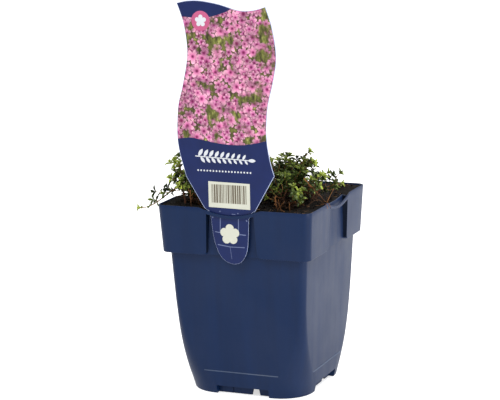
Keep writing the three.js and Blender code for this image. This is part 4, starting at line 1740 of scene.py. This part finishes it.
    def build(self) -> None:
        """Makes the card and what is printed on it."""
        card = plate("card", self.outline(), self.face, self.thickness)
        self.dress("tag_card", [card], self.edge, ["tag"])
        ground = self.inset(self.outline(), self.margin)
        back = plate("back", ground, self.face + self.thickness + self.ink * 0.1, self.ink * 0.9)
        front = plate("front", ground, self.face - self.ink * 0.5, self.ink * 0.4)
        self.dress("tag_ground", [front, back], self.navy)
        self.dress("tag_picture", [self.clipped("picture", self.picture_foot, Layer.PICTURE)], self.blossoms)
        cap = self.clipped("cap", self.cap_foot, Layer.FIELD)
        placed(cap, [bpy.data.materials[self.navy.name]])
        left, right, low, high = self.panel
        fall = self.panel_fall
        panel = [(left, low), (right, low - fall), (right, high - fall), (left, high)]
        self.dress("tag_panel", [self.print_plate("panel", panel, Layer.FIELD)], self.cream)
        self.dress("tag_stripes", self.stripes(), self.brown)
        roundel = self.disc(*self.roundel)
        self.dress("tag_roundel", [self.print_plate("roundel", roundel, Layer.MOTIF)], self.pink)
        flower = self.petals(*self.roundel[:2], self.roundel_flower)
        flower = self.print_plate("roundel_flower", flower, Layer.TOP)
        self.dress("tag_sprig", [*self.sprig(), flower], self.white)
        self.dress("tag_cuts", self.tongue_cuts(), self.cut)
        patch = self.print_plate("patch", self.petals(*self.patch, 0.3), Layer.MOTIF)
        self.dress("tag_patch", [patch], self.cream)


# ---------------------------------------------------------------- thyme


@dataclass(frozen=True)
class Crown:
    """A group of stems.

    Its name and place, how many stems it has, how wide their roots and their tips spread, how far the tips
    are shifted from the roots, how high it rises, how much lower it is at its right side, how leafy its
    stems are, and how far their leaves' tints are shifted darker or lighter.
    """

    name: str
    x: float
    y: float
    stems: int
    roots: float
    spread: tuple[float, float]
    shift: tuple[float, float]
    rise: float
    lean: float = 0.0
    leafiness: float = 1.0
    tint_shift: float = 0.0


@dataclass(frozen=True)
class Route:
    """A stem's name, its root's place on the soil, its two bends and its tip; how leafy it is, and how far
    its leaves' tints are shifted darker or lighter.
    """

    name: str
    root: tuple[float, float]
    bends: tuple[Point, Point]
    tip: Point
    leafiness: float = 1.0
    tint_shift: float = 0.0


@dataclass(frozen=True)
class Twig:
    """A loose twig: its radius at its start, its tint there, and its curve's start, bends and end."""

    radius: float
    tint: float
    knots: tuple[Point, Point, Point, Point]


# How much lower a crown is at its edge than in its middle, as a share of its rise.
CROWN_FALL = 0.5
# A crown's last number darkens (below 0) or lightens its leaves' tints.
CROWNS = (
    Crown("left", -36, -27, 9, 12, (22, 24), (-8, -5), 26, leafiness=0.95),
    Crown("right", 22, -1, 15, 18, (35, 36), (5, 3), 27.5, 0.28, tint_shift=-0.16),
    Crown("front", 31, -27, 5, 8, (21, 10), (3, -3), 12, tint_shift=-0.08),
    Crown("back", -15, 30, 8, 14, (31, 20), (-4, 0), 23, tint_shift=-0.12),
)
LEADERS = (
    Route("leader_right", (30, -3), ((29, -3, 158), (27, -1, 178)), (43, 0, 167), 1.1, -0.15),
    Route("leader_left", (-41, -36), ((-41, -37, 152), (-47, -40, 166)), (-52.5, -41, 171.5), 1.3),
    Route("trailer_left", (-44, -43), ((-45, -44, 172), (-62, -50, 133)), (-80, -50, 138.5), 0.5, -0.1),
)
DRY_STEMS = (
    Route("dry_stem_right", (53, -8), ((50, -13, 146), (46, -20, 155)), (42, -27, 164)),
    Route("dry_stem_front", (30, -46), ((30, -46, 142), (27, -45, 147)), (28, -43, 152)),
    Route("dry_stem_left", (-36, -50), ((-36, -50, 143), (-37, -51, 149)), (-35, -52, 155)),
)
LOOSE_TWIGS = (
    Twig(0.35, 0.4, ((38, 40, 141), (40, 43, 146), (44, 47, 146), (48, 48, 141.5))),
    Twig(0.4, 0.5, ((43, 46, 141), (47, 40, 149), (53, 10, 150), (53.5, -8, 141))),
    Twig(0.35, 0.2, ((30, 30, 141), (36, 26, 149), (48, 12, 147), (52, -4, 141.5))),
    Twig(0.28, 0.45, ((24, -41, 141.8), (28, -44, 142.8), (33, -47, 142.8), (37, -50, 141.6))),
    Twig(0.26, 0.5, ((34, -48, 141), (32, -47, 144), (31, -46, 147), (30, -44, 149))),
    Twig(0.26, 0.5, ((30, -47, 141.5), (31, -46, 143.5), (33, -46, 145), (35.5, -46, 148.5))),
    Twig(0.25, 0.6, ((38.5, -43.5, 141), (38.3, -43.5, 143), (38.0, -43.6, 145), (38.4, -43.6, 147))),
    Twig(0.3, 0.3, ((46, -30, 141.3), (49, -24, 146), (52, -18, 147), (51, -12, 142))),
    Twig(0.3, 0.3, ((44, -18, 141.3), (46, -14, 149), (48, -10, 151), (52, -9, 142))),
    Twig(0.25, 0.6, ((53, -22, 141.5), (57, -24, 143.5), (60.2, -25, 145.5), (60.5, -25, 140))),
    Twig(0.25, 0.5, ((52, -16, 142), (55, -17, 144.5), (59.8, -19, 145), (60.6, -19.5, 140.5))),
    Twig(0.3, 0.4, ((-30, -48, 141.2), (-27, -50, 145), (-24, -50, 147), (-22, -47, 142))),
)


@dataclass
class Thyme:
    """The leafy stems, each on the way of the frame's stem of that name, with finer and more leaves."""

    soil: Soil
    golden_angle: float = 2.39996
    root_depth: float = 7.0
    foot_radius: float = 0.75
    tip_radius: float = 0.3
    shoot_radii: tuple[float, float] = (0.34, 0.2)
    reached: float = 0.94
    pair_pitch: float = 3.6
    leaf_length: float = 5.0
    leaf_width: float = 2.4
    stem_leaf: float = 0.78
    shoot_reach: tuple[float, float] = (4.0, 9.0)
    shoot_chance: float = 0.62
    rosette: tuple[tuple[float, float, float], ...] = ((0.0, 1.0, 1.2), (0.7, 0.82, 0.85), (1.3, 0.5, 0.4))
    first_leaves: float = 5.0
    clearance: float = 1.5
    bare_stems: float = 1.6
    bare_radii: tuple[float, float] = (0.42, 0.24)
    bare_sink: float = 1.5
    dead_leaves: float = 17.0
    dead_leaf_length: tuple[float, float] = (2.5, 5.0)
    dead_leaf_width: tuple[float, float] = (1.2, 2.4)
    dry_radii: tuple[float, float] = (0.5, 0.3)
    stub_radii: tuple[float, float] = (0.25, 0.15)
    stub_reach: tuple[float, float] = (1.0, 2.2)
    stubs: tuple[float, ...] = (0.35, 0.6, 0.8)
    across: Point = (0.4, 0.8, 0.2)
    leaf: Foliage = Foliage("thyme_leaf", srgb(32, 42, 16), srgb(72, 87, 34), srgb(158, 172, 70), 0.42, 1.25)
    bark: Foliage = Foliage("stem_bark", srgb(56, 34, 24), srgb(104, 66, 42), srgb(140, 118, 62), 0.55)
    dry: Foliage = Foliage("dry_wood", srgb(32, 24, 19), srgb(68, 46, 31), srgb(148, 98, 56), 0.7, 1.2)
    shape: Shape = field(init=False, default=None)

    def crown_routes(self, crown: Crown, random: SeededSource) -> list[Route]:
        """Lays a crown's stems: upright in the middle, and lower and further out towards its edge.

        Args:
            crown: the crown.
            random: the frame's source of small differences.

        Returns:
            The stems' routes, which are those of the frame's stems.
        """
        routes = []
        for number in range(crown.stems):
            angle = number * self.golden_angle + 0.5
            out = math.sqrt((number + 0.4) / crown.stems)
            cos, sin = math.cos(angle) * out, math.sin(angle) * out
            root = (crown.x + crown.roots * cos, crown.y + crown.roots * sin)
            end_x = crown.x + crown.shift[0] + crown.spread[0] * cos
            end_y = crown.y + crown.shift[1] + crown.spread[1] * sin
            shape = (1 - CROWN_FALL * out * out) * (1 - crown.lean * cos)
            rise = crown.rise * shape * (0.9 + 0.2 * random.draw())
            ground = self.soil.height(*root)
            first, second, tip = (
                (lerp(root[0], end_x, share), lerp(root[1], end_y, share), ground + rise * up)
                for share, up in ((0, 0.5), (0.55, 0.85), (1, 1))
            )
            name = f"stem_{crown.name}_{number + 1}"
            routes.append(Route(name, root, (first, second), tip, crown.leafiness, crown.tint_shift))
        return routes

    def curve(self, route: Route) -> np.ndarray:
        """Points along a stem above the soil, in millimetres."""
        start = (*route.root, self.soil.height(*route.root) + 1)
        return bezier((start, *route.bends, route.tip), np.linspace(0, self.reached, 61)[:, None])

    def leaf_template(self) -> Shape:
        """Models a leaf one long and one wide, from its foot at the origin along X: a folded pointed oval.

        Returns:
            Its vertices and faces.
        """
        deselect_all()
        bpy.ops.mesh.primitive_grid_add(x_subdivisions=5, y_subdivisions=2, size=1.0)
        piece = bpy.context.object
        widths = (0.14, 0.62, 0.98, 1.0, 0.66, 0.1)
        for vertex in piece.data.vertices:
            along = vertex.co.x + 0.5
            across = vertex.co.y * widths[round(along * 5)]
            vertex.co = (along, across, 0.34 * abs(across) - 0.22 * (along - 0.35) ** 2)
        modified(piece, "SOLIDIFY", thickness=0.06, offset=0.0)
        return take_template(piece)

    def frame_along(self, points: np.ndarray, share: float, across: np.ndarray) -> Frame:
        """Finds a curve's point and directions at a share of its length.

        Args:
            points: the curve.
            share: the share.
            across: about which way the second direction goes.

        Returns:
            The point, and three unit directions, of which the first goes along the curve.
        """
        lengths = np.r_[0, np.cumsum(np.linalg.norm(np.diff(points, axis=0), axis=1))]
        where = share * lengths[-1]
        place, ahead, behind = (
            np.array([np.interp(length, lengths, points[:, axis]) for axis in range(3)])
            for length in (where, min(where + 0.4, lengths[-1]), max(where - 0.4, 0))
        )
        along = (ahead - behind) / np.linalg.norm(ahead - behind)
        side = across - along * across.dot(along)
        side /= np.linalg.norm(side)
        return place, along, side, np.cross(along, side)

    def tube(
        self, scatter: Scatter, points: np.ndarray, radii: tuple[float, float], tints: tuple[float, float]
    ) -> None:
        """Adds a round tapering tube along points to a mesh, as its bark.

        Args:
            scatter: the mesh.
            points: the tube's middle line.
            radii: its radius at its start and at its end.
            tints: its tint there.
        """
        sides = 7
        rings, tint = [], []
        across = np.array([0.31, 0.77, 0.21])
        for number, point in enumerate(points):
            along = points[min(number + 1, len(points) - 1)] - points[max(number - 1, 0)]
            along /= np.linalg.norm(along)
            side = across - along * across.dot(along)
            side /= np.linalg.norm(side)
            over = np.cross(along, side)
            across = side
            share = number / (len(points) - 1)
            radius = lerp(radii[0], radii[1], share)
            for step in range(sides):
                angle = 2 * math.pi * step / sides
                rings.append(point + radius * (math.cos(angle) * side + math.sin(angle) * over))
                tint.append(lerp(tints[0], tints[1], share))
        faces = []
        for level in range(len(points) - 1):
            for step in range(sides):
                a, b = level * sides + step, level * sides + (step + 1) % sides
                faces.append((a, b, b + sides, a + sides))
        faces.append(tuple(range(sides))[::-1])
        faces.append(tuple(range((len(points) - 1) * sides, len(points) * sides)))
        scatter.add((np.array(rings), faces), np.eye(3), (0, 0, 0), tint, 1)

    def leaf_pair(
        self,
        scatter: Scatter,
        frame: Frame,
        turn: float,
        size: float,
        opening: float,
        tint: float,
        random: np.random.Generator,
    ) -> None:
        """Adds two opposite leaves to a mesh.

        Args:
            scatter: the mesh.
            frame: the stem's point and directions there.
            turn: the pair's angle round the stem.
            size: the leaves' size.
            opening: their angle away from the stem.
            tint: how young they are.
            random: the source of small differences.
        """
        place, along, side, over = frame
        for half in (0.0, math.pi):
            angle = turn + half + random.normal(0, 0.12)
            out = side * math.cos(angle) + over * math.sin(angle)
            lean = opening + random.normal(0, 0.12)
            blade = along * math.cos(lean) + out * math.sin(lean)
            normal = along * math.sin(lean) - out * math.cos(lean)
            length = self.leaf_length * size * random.uniform(0.85, 1.12)
            width = self.leaf_width * size * random.uniform(0.85, 1.15)
            turned = np.stack([blade * length, np.cross(normal, blade) * width, normal * length], axis=1)
            scatter.add(self.shape, turned, place, min(1.0, max(0.0, tint + random.normal(0, 0.13))))

    def branch(
        self,
        scatter: Scatter,
        points: np.ndarray,
        start: float,
        pitch: float,
        age: tuple[float, float],
        random: np.random.Generator,
    ) -> list[tuple[Frame, float, float]]:
        """Adds the leaf pairs of a branch and the rosette at its tip to a mesh.

        Args:
            scatter: the mesh.
            points: the branch's curve.
            start: share of its length at which its leaves begin.
            pitch: distance between its pairs of leaves.
            age: tint of its lowest and of its tip leaves.
            random: the source of small differences.

        Returns:
            The frames of its pairs, each with its turn and its share of the way.
        """
        length = np.linalg.norm(np.diff(points, axis=0), axis=1).sum()
        count = max(1, round(length * (1 - start) / pitch))
        turn = random.uniform(0, math.pi)
        across = np.array(self.across)
        frames = []
        for number in range(count + 1):
            share = number / count
            frame = self.frame_along(points, start + (1 - start) * share, across)
            across = frame[2]
            if number < count:
                opening = random.uniform(0.95, 1.35)
                self.leaf_pair(scatter, frame, turn, self.stem_leaf, opening, lerp(*age, share), random)
            frames.append((frame, turn, share))
            turn += math.pi / 2 + random.normal(0, 0.15)
        place, along, side, over = frames[-1][0]
        for rise, leaf_size, opening in self.rosette:
            lifted = (place + along * rise, along, side, over)
            self.leaf_pair(scatter, lifted, turn, leaf_size, opening, age[1], random)
            turn += math.pi / 2
        return frames

    def shoot(self, frame: Frame, turn: float, reach: float, random: np.random.Generator) -> np.ndarray:
        """Lays a side shoot that leaves a stem sideways and turns up.

        Args:
            frame: the stem's point and directions at the shoot's foot.
            turn: the angle round the stem of the leaf pair there.
            reach: about how far the shoot goes, in millimetres.
            random: the source of small differences.

        Returns:
            Points along the shoot.
        """
        place, along, side, over = frame
        angle = turn + math.pi / 2 + random.normal(0, 0.2)
        out = side * math.cos(angle) + over * math.sin(angle)
        up = along * 0.75 + np.array([0, 0, 0.35])
        t = np.linspace(0, 1, 9)[:, None]
        return place + out * reach * 0.8 * (1 - (1 - t) ** 1.6) + up * reach * t**1.7

    def stem(self, route: Route, random: np.random.Generator) -> bpy.types.Object:
        """Makes a leafy stem with its side shoots and dresses it.

        Args:
            route: its way.
            random: the source of small differences.

        Returns:
            The new piece.
        """
        scatter = Scatter(route.name + "_leafy")
        points = self.curve(route)
        length = np.linalg.norm(np.diff(points, axis=0), axis=1).sum()
        foot = points[0] - (0, 0, self.root_depth)
        self.tube(scatter, np.vstack([foot, points[::4]]), (self.foot_radius, self.tip_radius), (0.1, 0.75))
        lift = route.tint_shift + random.uniform(-0.12, 0.12)
        pitch = self.pair_pitch / route.leafiness
        # Leaves run from dark low on the stem to light at its tip: partly the plant's older lower leaves,
        # partly painted shade inside the clump.
        age_and_shade_tints = (0.05 + lift, 0.8 + lift)
        frames = self.branch(scatter, points, self.first_leaves / length, pitch, age_and_shade_tints, random)
        for frame, turn, share in frames[:-1]:
            for side in (0.0, math.pi):
                reach = random.uniform(*self.shoot_reach) * (1.15 - 0.5 * share)
                curve = self.shoot(frame, turn + side, reach, random)
                chance = self.shoot_chance * route.leafiness
                if random.random() > chance or curve[:, 2].min() < self.soil.level + self.clearance:
                    continue
                self.tube(scatter, curve, self.shoot_radii, (0.4, 0.8))
                # Shoots lower on the stem get darker leaves: partly age, partly painted shade inside the
                # clump.
                young = 0.3 + 0.45 * share + lift + random.normal(0, 0.2)
                self.branch(scatter, curve, 0.5, self.pair_pitch, (0.3 * young, young), random)
        materials = [bpy.data.materials[finish.name] for finish in (self.leaf, self.bark)]
        return placed(scatter.build(), materials, [route.name])

    def dry_stem(self, route: Route, random: np.random.Generator) -> bpy.types.Object:
        """Makes a dead stem with a few stubs and dresses it.

        Args:
            route: its way.
            random: the source of small differences.

        Returns:
            The new piece.
        """
        scatter = Scatter(route.name + "_wood")
        points = self.curve(route)
        wobble = random.normal(0, 0.18, (len(points[::4]), 3))
        trunk = np.vstack([points[0] - (0, 0, self.root_depth), points[::4] + wobble])
        self.tube(scatter, trunk, self.dry_radii, (0.3, 0.95))
        for share in self.stubs:
            frame = self.frame_along(points, share, np.array(self.across))
            stub = self.shoot(frame, random.uniform(0, 6.28), random.uniform(*self.stub_reach), random)
            self.tube(scatter, stub, self.stub_radii, (0.6, 1.0))
        return placed(scatter.build(), [bpy.data.materials[self.dry.name]] * 2, [route.name])

    def tangle(self, crown: Crown, random: np.random.Generator) -> bpy.types.Object:
        """Makes the bare woody stems and the dead leaves at a crown's foot and dresses them.

        Args:
            crown: the crown.
            random: the source of small differences.

        Returns:
            The new piece.
        """
        scatter = Scatter(f"tangle_{crown.name}")
        for _ in range(round(crown.stems * self.bare_stems)):
            angle, out = random.uniform(0, 2 * math.pi), random.uniform(0.1, 1.0)
            cos, sin = math.cos(angle) * out, math.sin(angle) * out
            root = (crown.x + crown.roots * cos, crown.y + crown.roots * sin)
            spread = random.uniform(0.5, 0.95)
            end_x = crown.x + crown.shift[0] + crown.spread[0] * cos * spread
            end_y = crown.y + crown.shift[1] + crown.spread[1] * sin * spread
            rise = crown.rise * random.uniform(0.2, 0.7) * (1 - CROWN_FALL * out * out)
            ground = self.soil.height(*root)
            upright = (*root, ground + rise * 0.7)
            bent = (lerp(root[0], end_x, 0.6), lerp(root[1], end_y, 0.6), ground + rise)
            tip = (end_x, end_y, ground + rise * 0.9)
            points = self.curve(Route("bare", root, (upright, bent), tip))[::5]
            points = points + random.normal(0, 0.25, points.shape)
            tints = (random.uniform(0, 0.4), random.uniform(0.2, 0.8))
            self.tube(scatter, points - (0, 0, self.bare_sink), self.bare_radii, tints)
        for _ in range(round(crown.stems * self.dead_leaves)):
            angle, out = random.uniform(0, 2 * math.pi), crown.roots * math.sqrt(random.uniform(0.02, 1.5))
            x, y = crown.x + out * math.cos(angle), crown.y + out * math.sin(angle)
            lift = random.uniform(0, 0.6) * crown.rise * math.exp(-((out / crown.roots) ** 2))
            turn = tumbled(random, "X", -1.2, 1.2)
            scale = (random.uniform(*self.dead_leaf_length), random.uniform(*self.dead_leaf_width), 2.5)
            where = (x, y, self.soil.rough_height(x, y) + 0.7 + lift)
            scatter.add(self.shape, turn * scale, where, random.uniform(0, 0.6), 1)
        return placed(scatter.build(), [bpy.data.materials[self.dry.name]] * 2)

    def loose_twigs(self, random: np.random.Generator) -> bpy.types.Object:
        """Makes the twigs that lie on the soil and dresses them.

        Args:
            random: the source of small differences.

        Returns:
            The new piece.
        """
        scatter = Scatter("loose_twigs")
        for twig in LOOSE_TWIGS:
            points = bezier(twig.knots, np.linspace(0, 1, 15)[:, None])
            points += random.normal(0, 0.12, points.shape)
            radii, tints = (twig.radius, twig.radius * 0.6), (twig.tint, min(1.0, twig.tint + 0.3))
            self.tube(scatter, points, radii, tints)
        return placed(scatter.build(), [bpy.data.materials[self.dry.name]] * 2)

    def build(self) -> None:
        """Makes all stems."""
        self.shape = self.leaf_template()
        for finish in (self.leaf, self.bark, self.dry):
            finish.make()
        source = SeededSource(FRAME_SEED)
        routes = [route for crown in CROWNS for route in self.crown_routes(crown, source)]
        for number, route in enumerate([*routes, *LEADERS]):
            self.stem(route, np.random.default_rng(STEM_SEED + number))
        for number, route in enumerate(DRY_STEMS):
            self.dry_stem(route, np.random.default_rng(DRY_STEM_SEED + number))
        for number, crown in enumerate(CROWNS):
            self.tangle(crown, np.random.default_rng(TANGLE_SEED + number))
        self.loose_twigs(np.random.default_rng(TWIG_SEED))


# ---------------------------------------------------------------- studio


@dataclass(frozen=True)
class SoftLight:
    """A square soft light: its name, its place and its target in metres, its size and its power."""

    name: str
    place: Point
    target: Point
    size: float
    power: float

    def build(self) -> None:
        """Adds the light, turned to its target."""
        data = bpy.data.lights.new(self.name, "AREA")
        data.shape = "SQUARE"
        data.size = self.size
        data.energy = self.power
        light = bpy.data.objects.new(self.name, data)
        light.location = self.place
        back = Vector(self.place) - Vector(self.target)
        light.rotation_euler = back.to_track_quat("Z", "Y").to_euler()
        bpy.context.collection.objects.link(light)


@dataclass
class Studio:
    """The pale floor, the soft lights and the photograph's camera."""

    camera_place: Point = (524.2, -1271.0, 416.8)
    azimuth: float = 22.8191
    elevation: float = 11.4420
    roll: float = -1.262
    lens: float = 135.3
    floor_colour: Colour = (0.62, 0.62, 0.62)
    floor_glow: float = 0.62
    surroundings: float = 0.8
    lights: tuple[SoftLight, ...] = (
        SoftLight("key", (-0.7, -1.3, 1.9), (0, 0, 0.12), 0.7, 26.0),
        SoftLight("back", (0.55, 0.75, 0.9), (0.25, 0.45, 0.0), 0.8, 14.0),
        SoftLight("side", (1.3, -0.55, 0.2), (0.0, 0.0, 0.07), 0.7, 14.0),
    )

    def camera(self) -> None:
        """Adds the camera."""
        azimuth, elevation, roll = (math.radians(v) for v in (self.azimuth, self.elevation, self.roll))
        level = math.cos(elevation)
        back = Vector((math.sin(azimuth) * level, -math.cos(azimuth) * level, math.sin(elevation)))
        right = Vector((math.cos(azimuth), math.sin(azimuth), 0.0))
        up = back.cross(right)
        turned_right = right * math.cos(roll) + up * math.sin(roll)
        turned_up = up * math.cos(roll) - right * math.sin(roll)
        data = bpy.data.cameras.new("camera")
        data.lens = self.lens
        data.sensor_width = 36.0
        data.clip_end = 50.0
        camera = bpy.data.objects.new("camera", data)
        bpy.context.collection.objects.link(camera)
        matrix = Matrix((turned_right, turned_up, back)).transposed().to_4x4()
        matrix.translation = Vector(self.camera_place) * MM
        camera.matrix_world = matrix
        bpy.context.scene.camera = camera

    def floor(self) -> None:
        """Adds the pale floor."""
        deselect_all()
        bpy.ops.mesh.primitive_plane_add(size=14.0, location=(0, 0, 0))
        floor = renamed("floor")
        material, shader, principled = new_material("floor_paper", self.floor_colour, 0.9)
        principled.inputs["Emission Color"].default_value = (1.0, 1.0, 1.0, 1.0)
        principled.inputs["Emission Strength"].default_value = self.floor_glow
        tone = shader.ranged(shader.noise(shader.place(), 3.0), 0.3, 0.7)
        lighter = tuple(channel * 1.02 for channel in self.floor_colour)
        shader.feed(principled.inputs["Base Color"], shader.mixed(tone, self.floor_colour, lighter))
        floor.data.materials.append(material)

    def world(self) -> None:
        """Adds the even white surroundings."""
        world = bpy.data.worlds.new("surroundings")
        world.use_nodes = True
        background = world.node_tree.nodes["Background"]
        background.inputs["Color"].default_value = (1.0, 1.0, 1.0, 1.0)
        background.inputs["Strength"].default_value = self.surroundings
        bpy.context.scene.world = world

    def build(self) -> None:
        """Makes the floor, the surroundings, the lights and the camera."""
        self.floor()
        self.world()
        for light in self.lights:
            light.build()
        self.camera()
        bpy.context.scene.view_settings.view_transform = "Standard"


def main() -> None:
    """Builds the potted thyme and its studio."""
    logging.basicConfig(level=logging.INFO, format="%(name)s: %(message)s")
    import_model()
    build_moulded_group()
    build_blossom_group()
    form = PotForm()
    Studio().build()
    Pot(form).build()
    soil = Soil(form)
    soil.build()
    Tag().build()
    Thyme(soil).build()


if __name__ == "__main__":
    main()
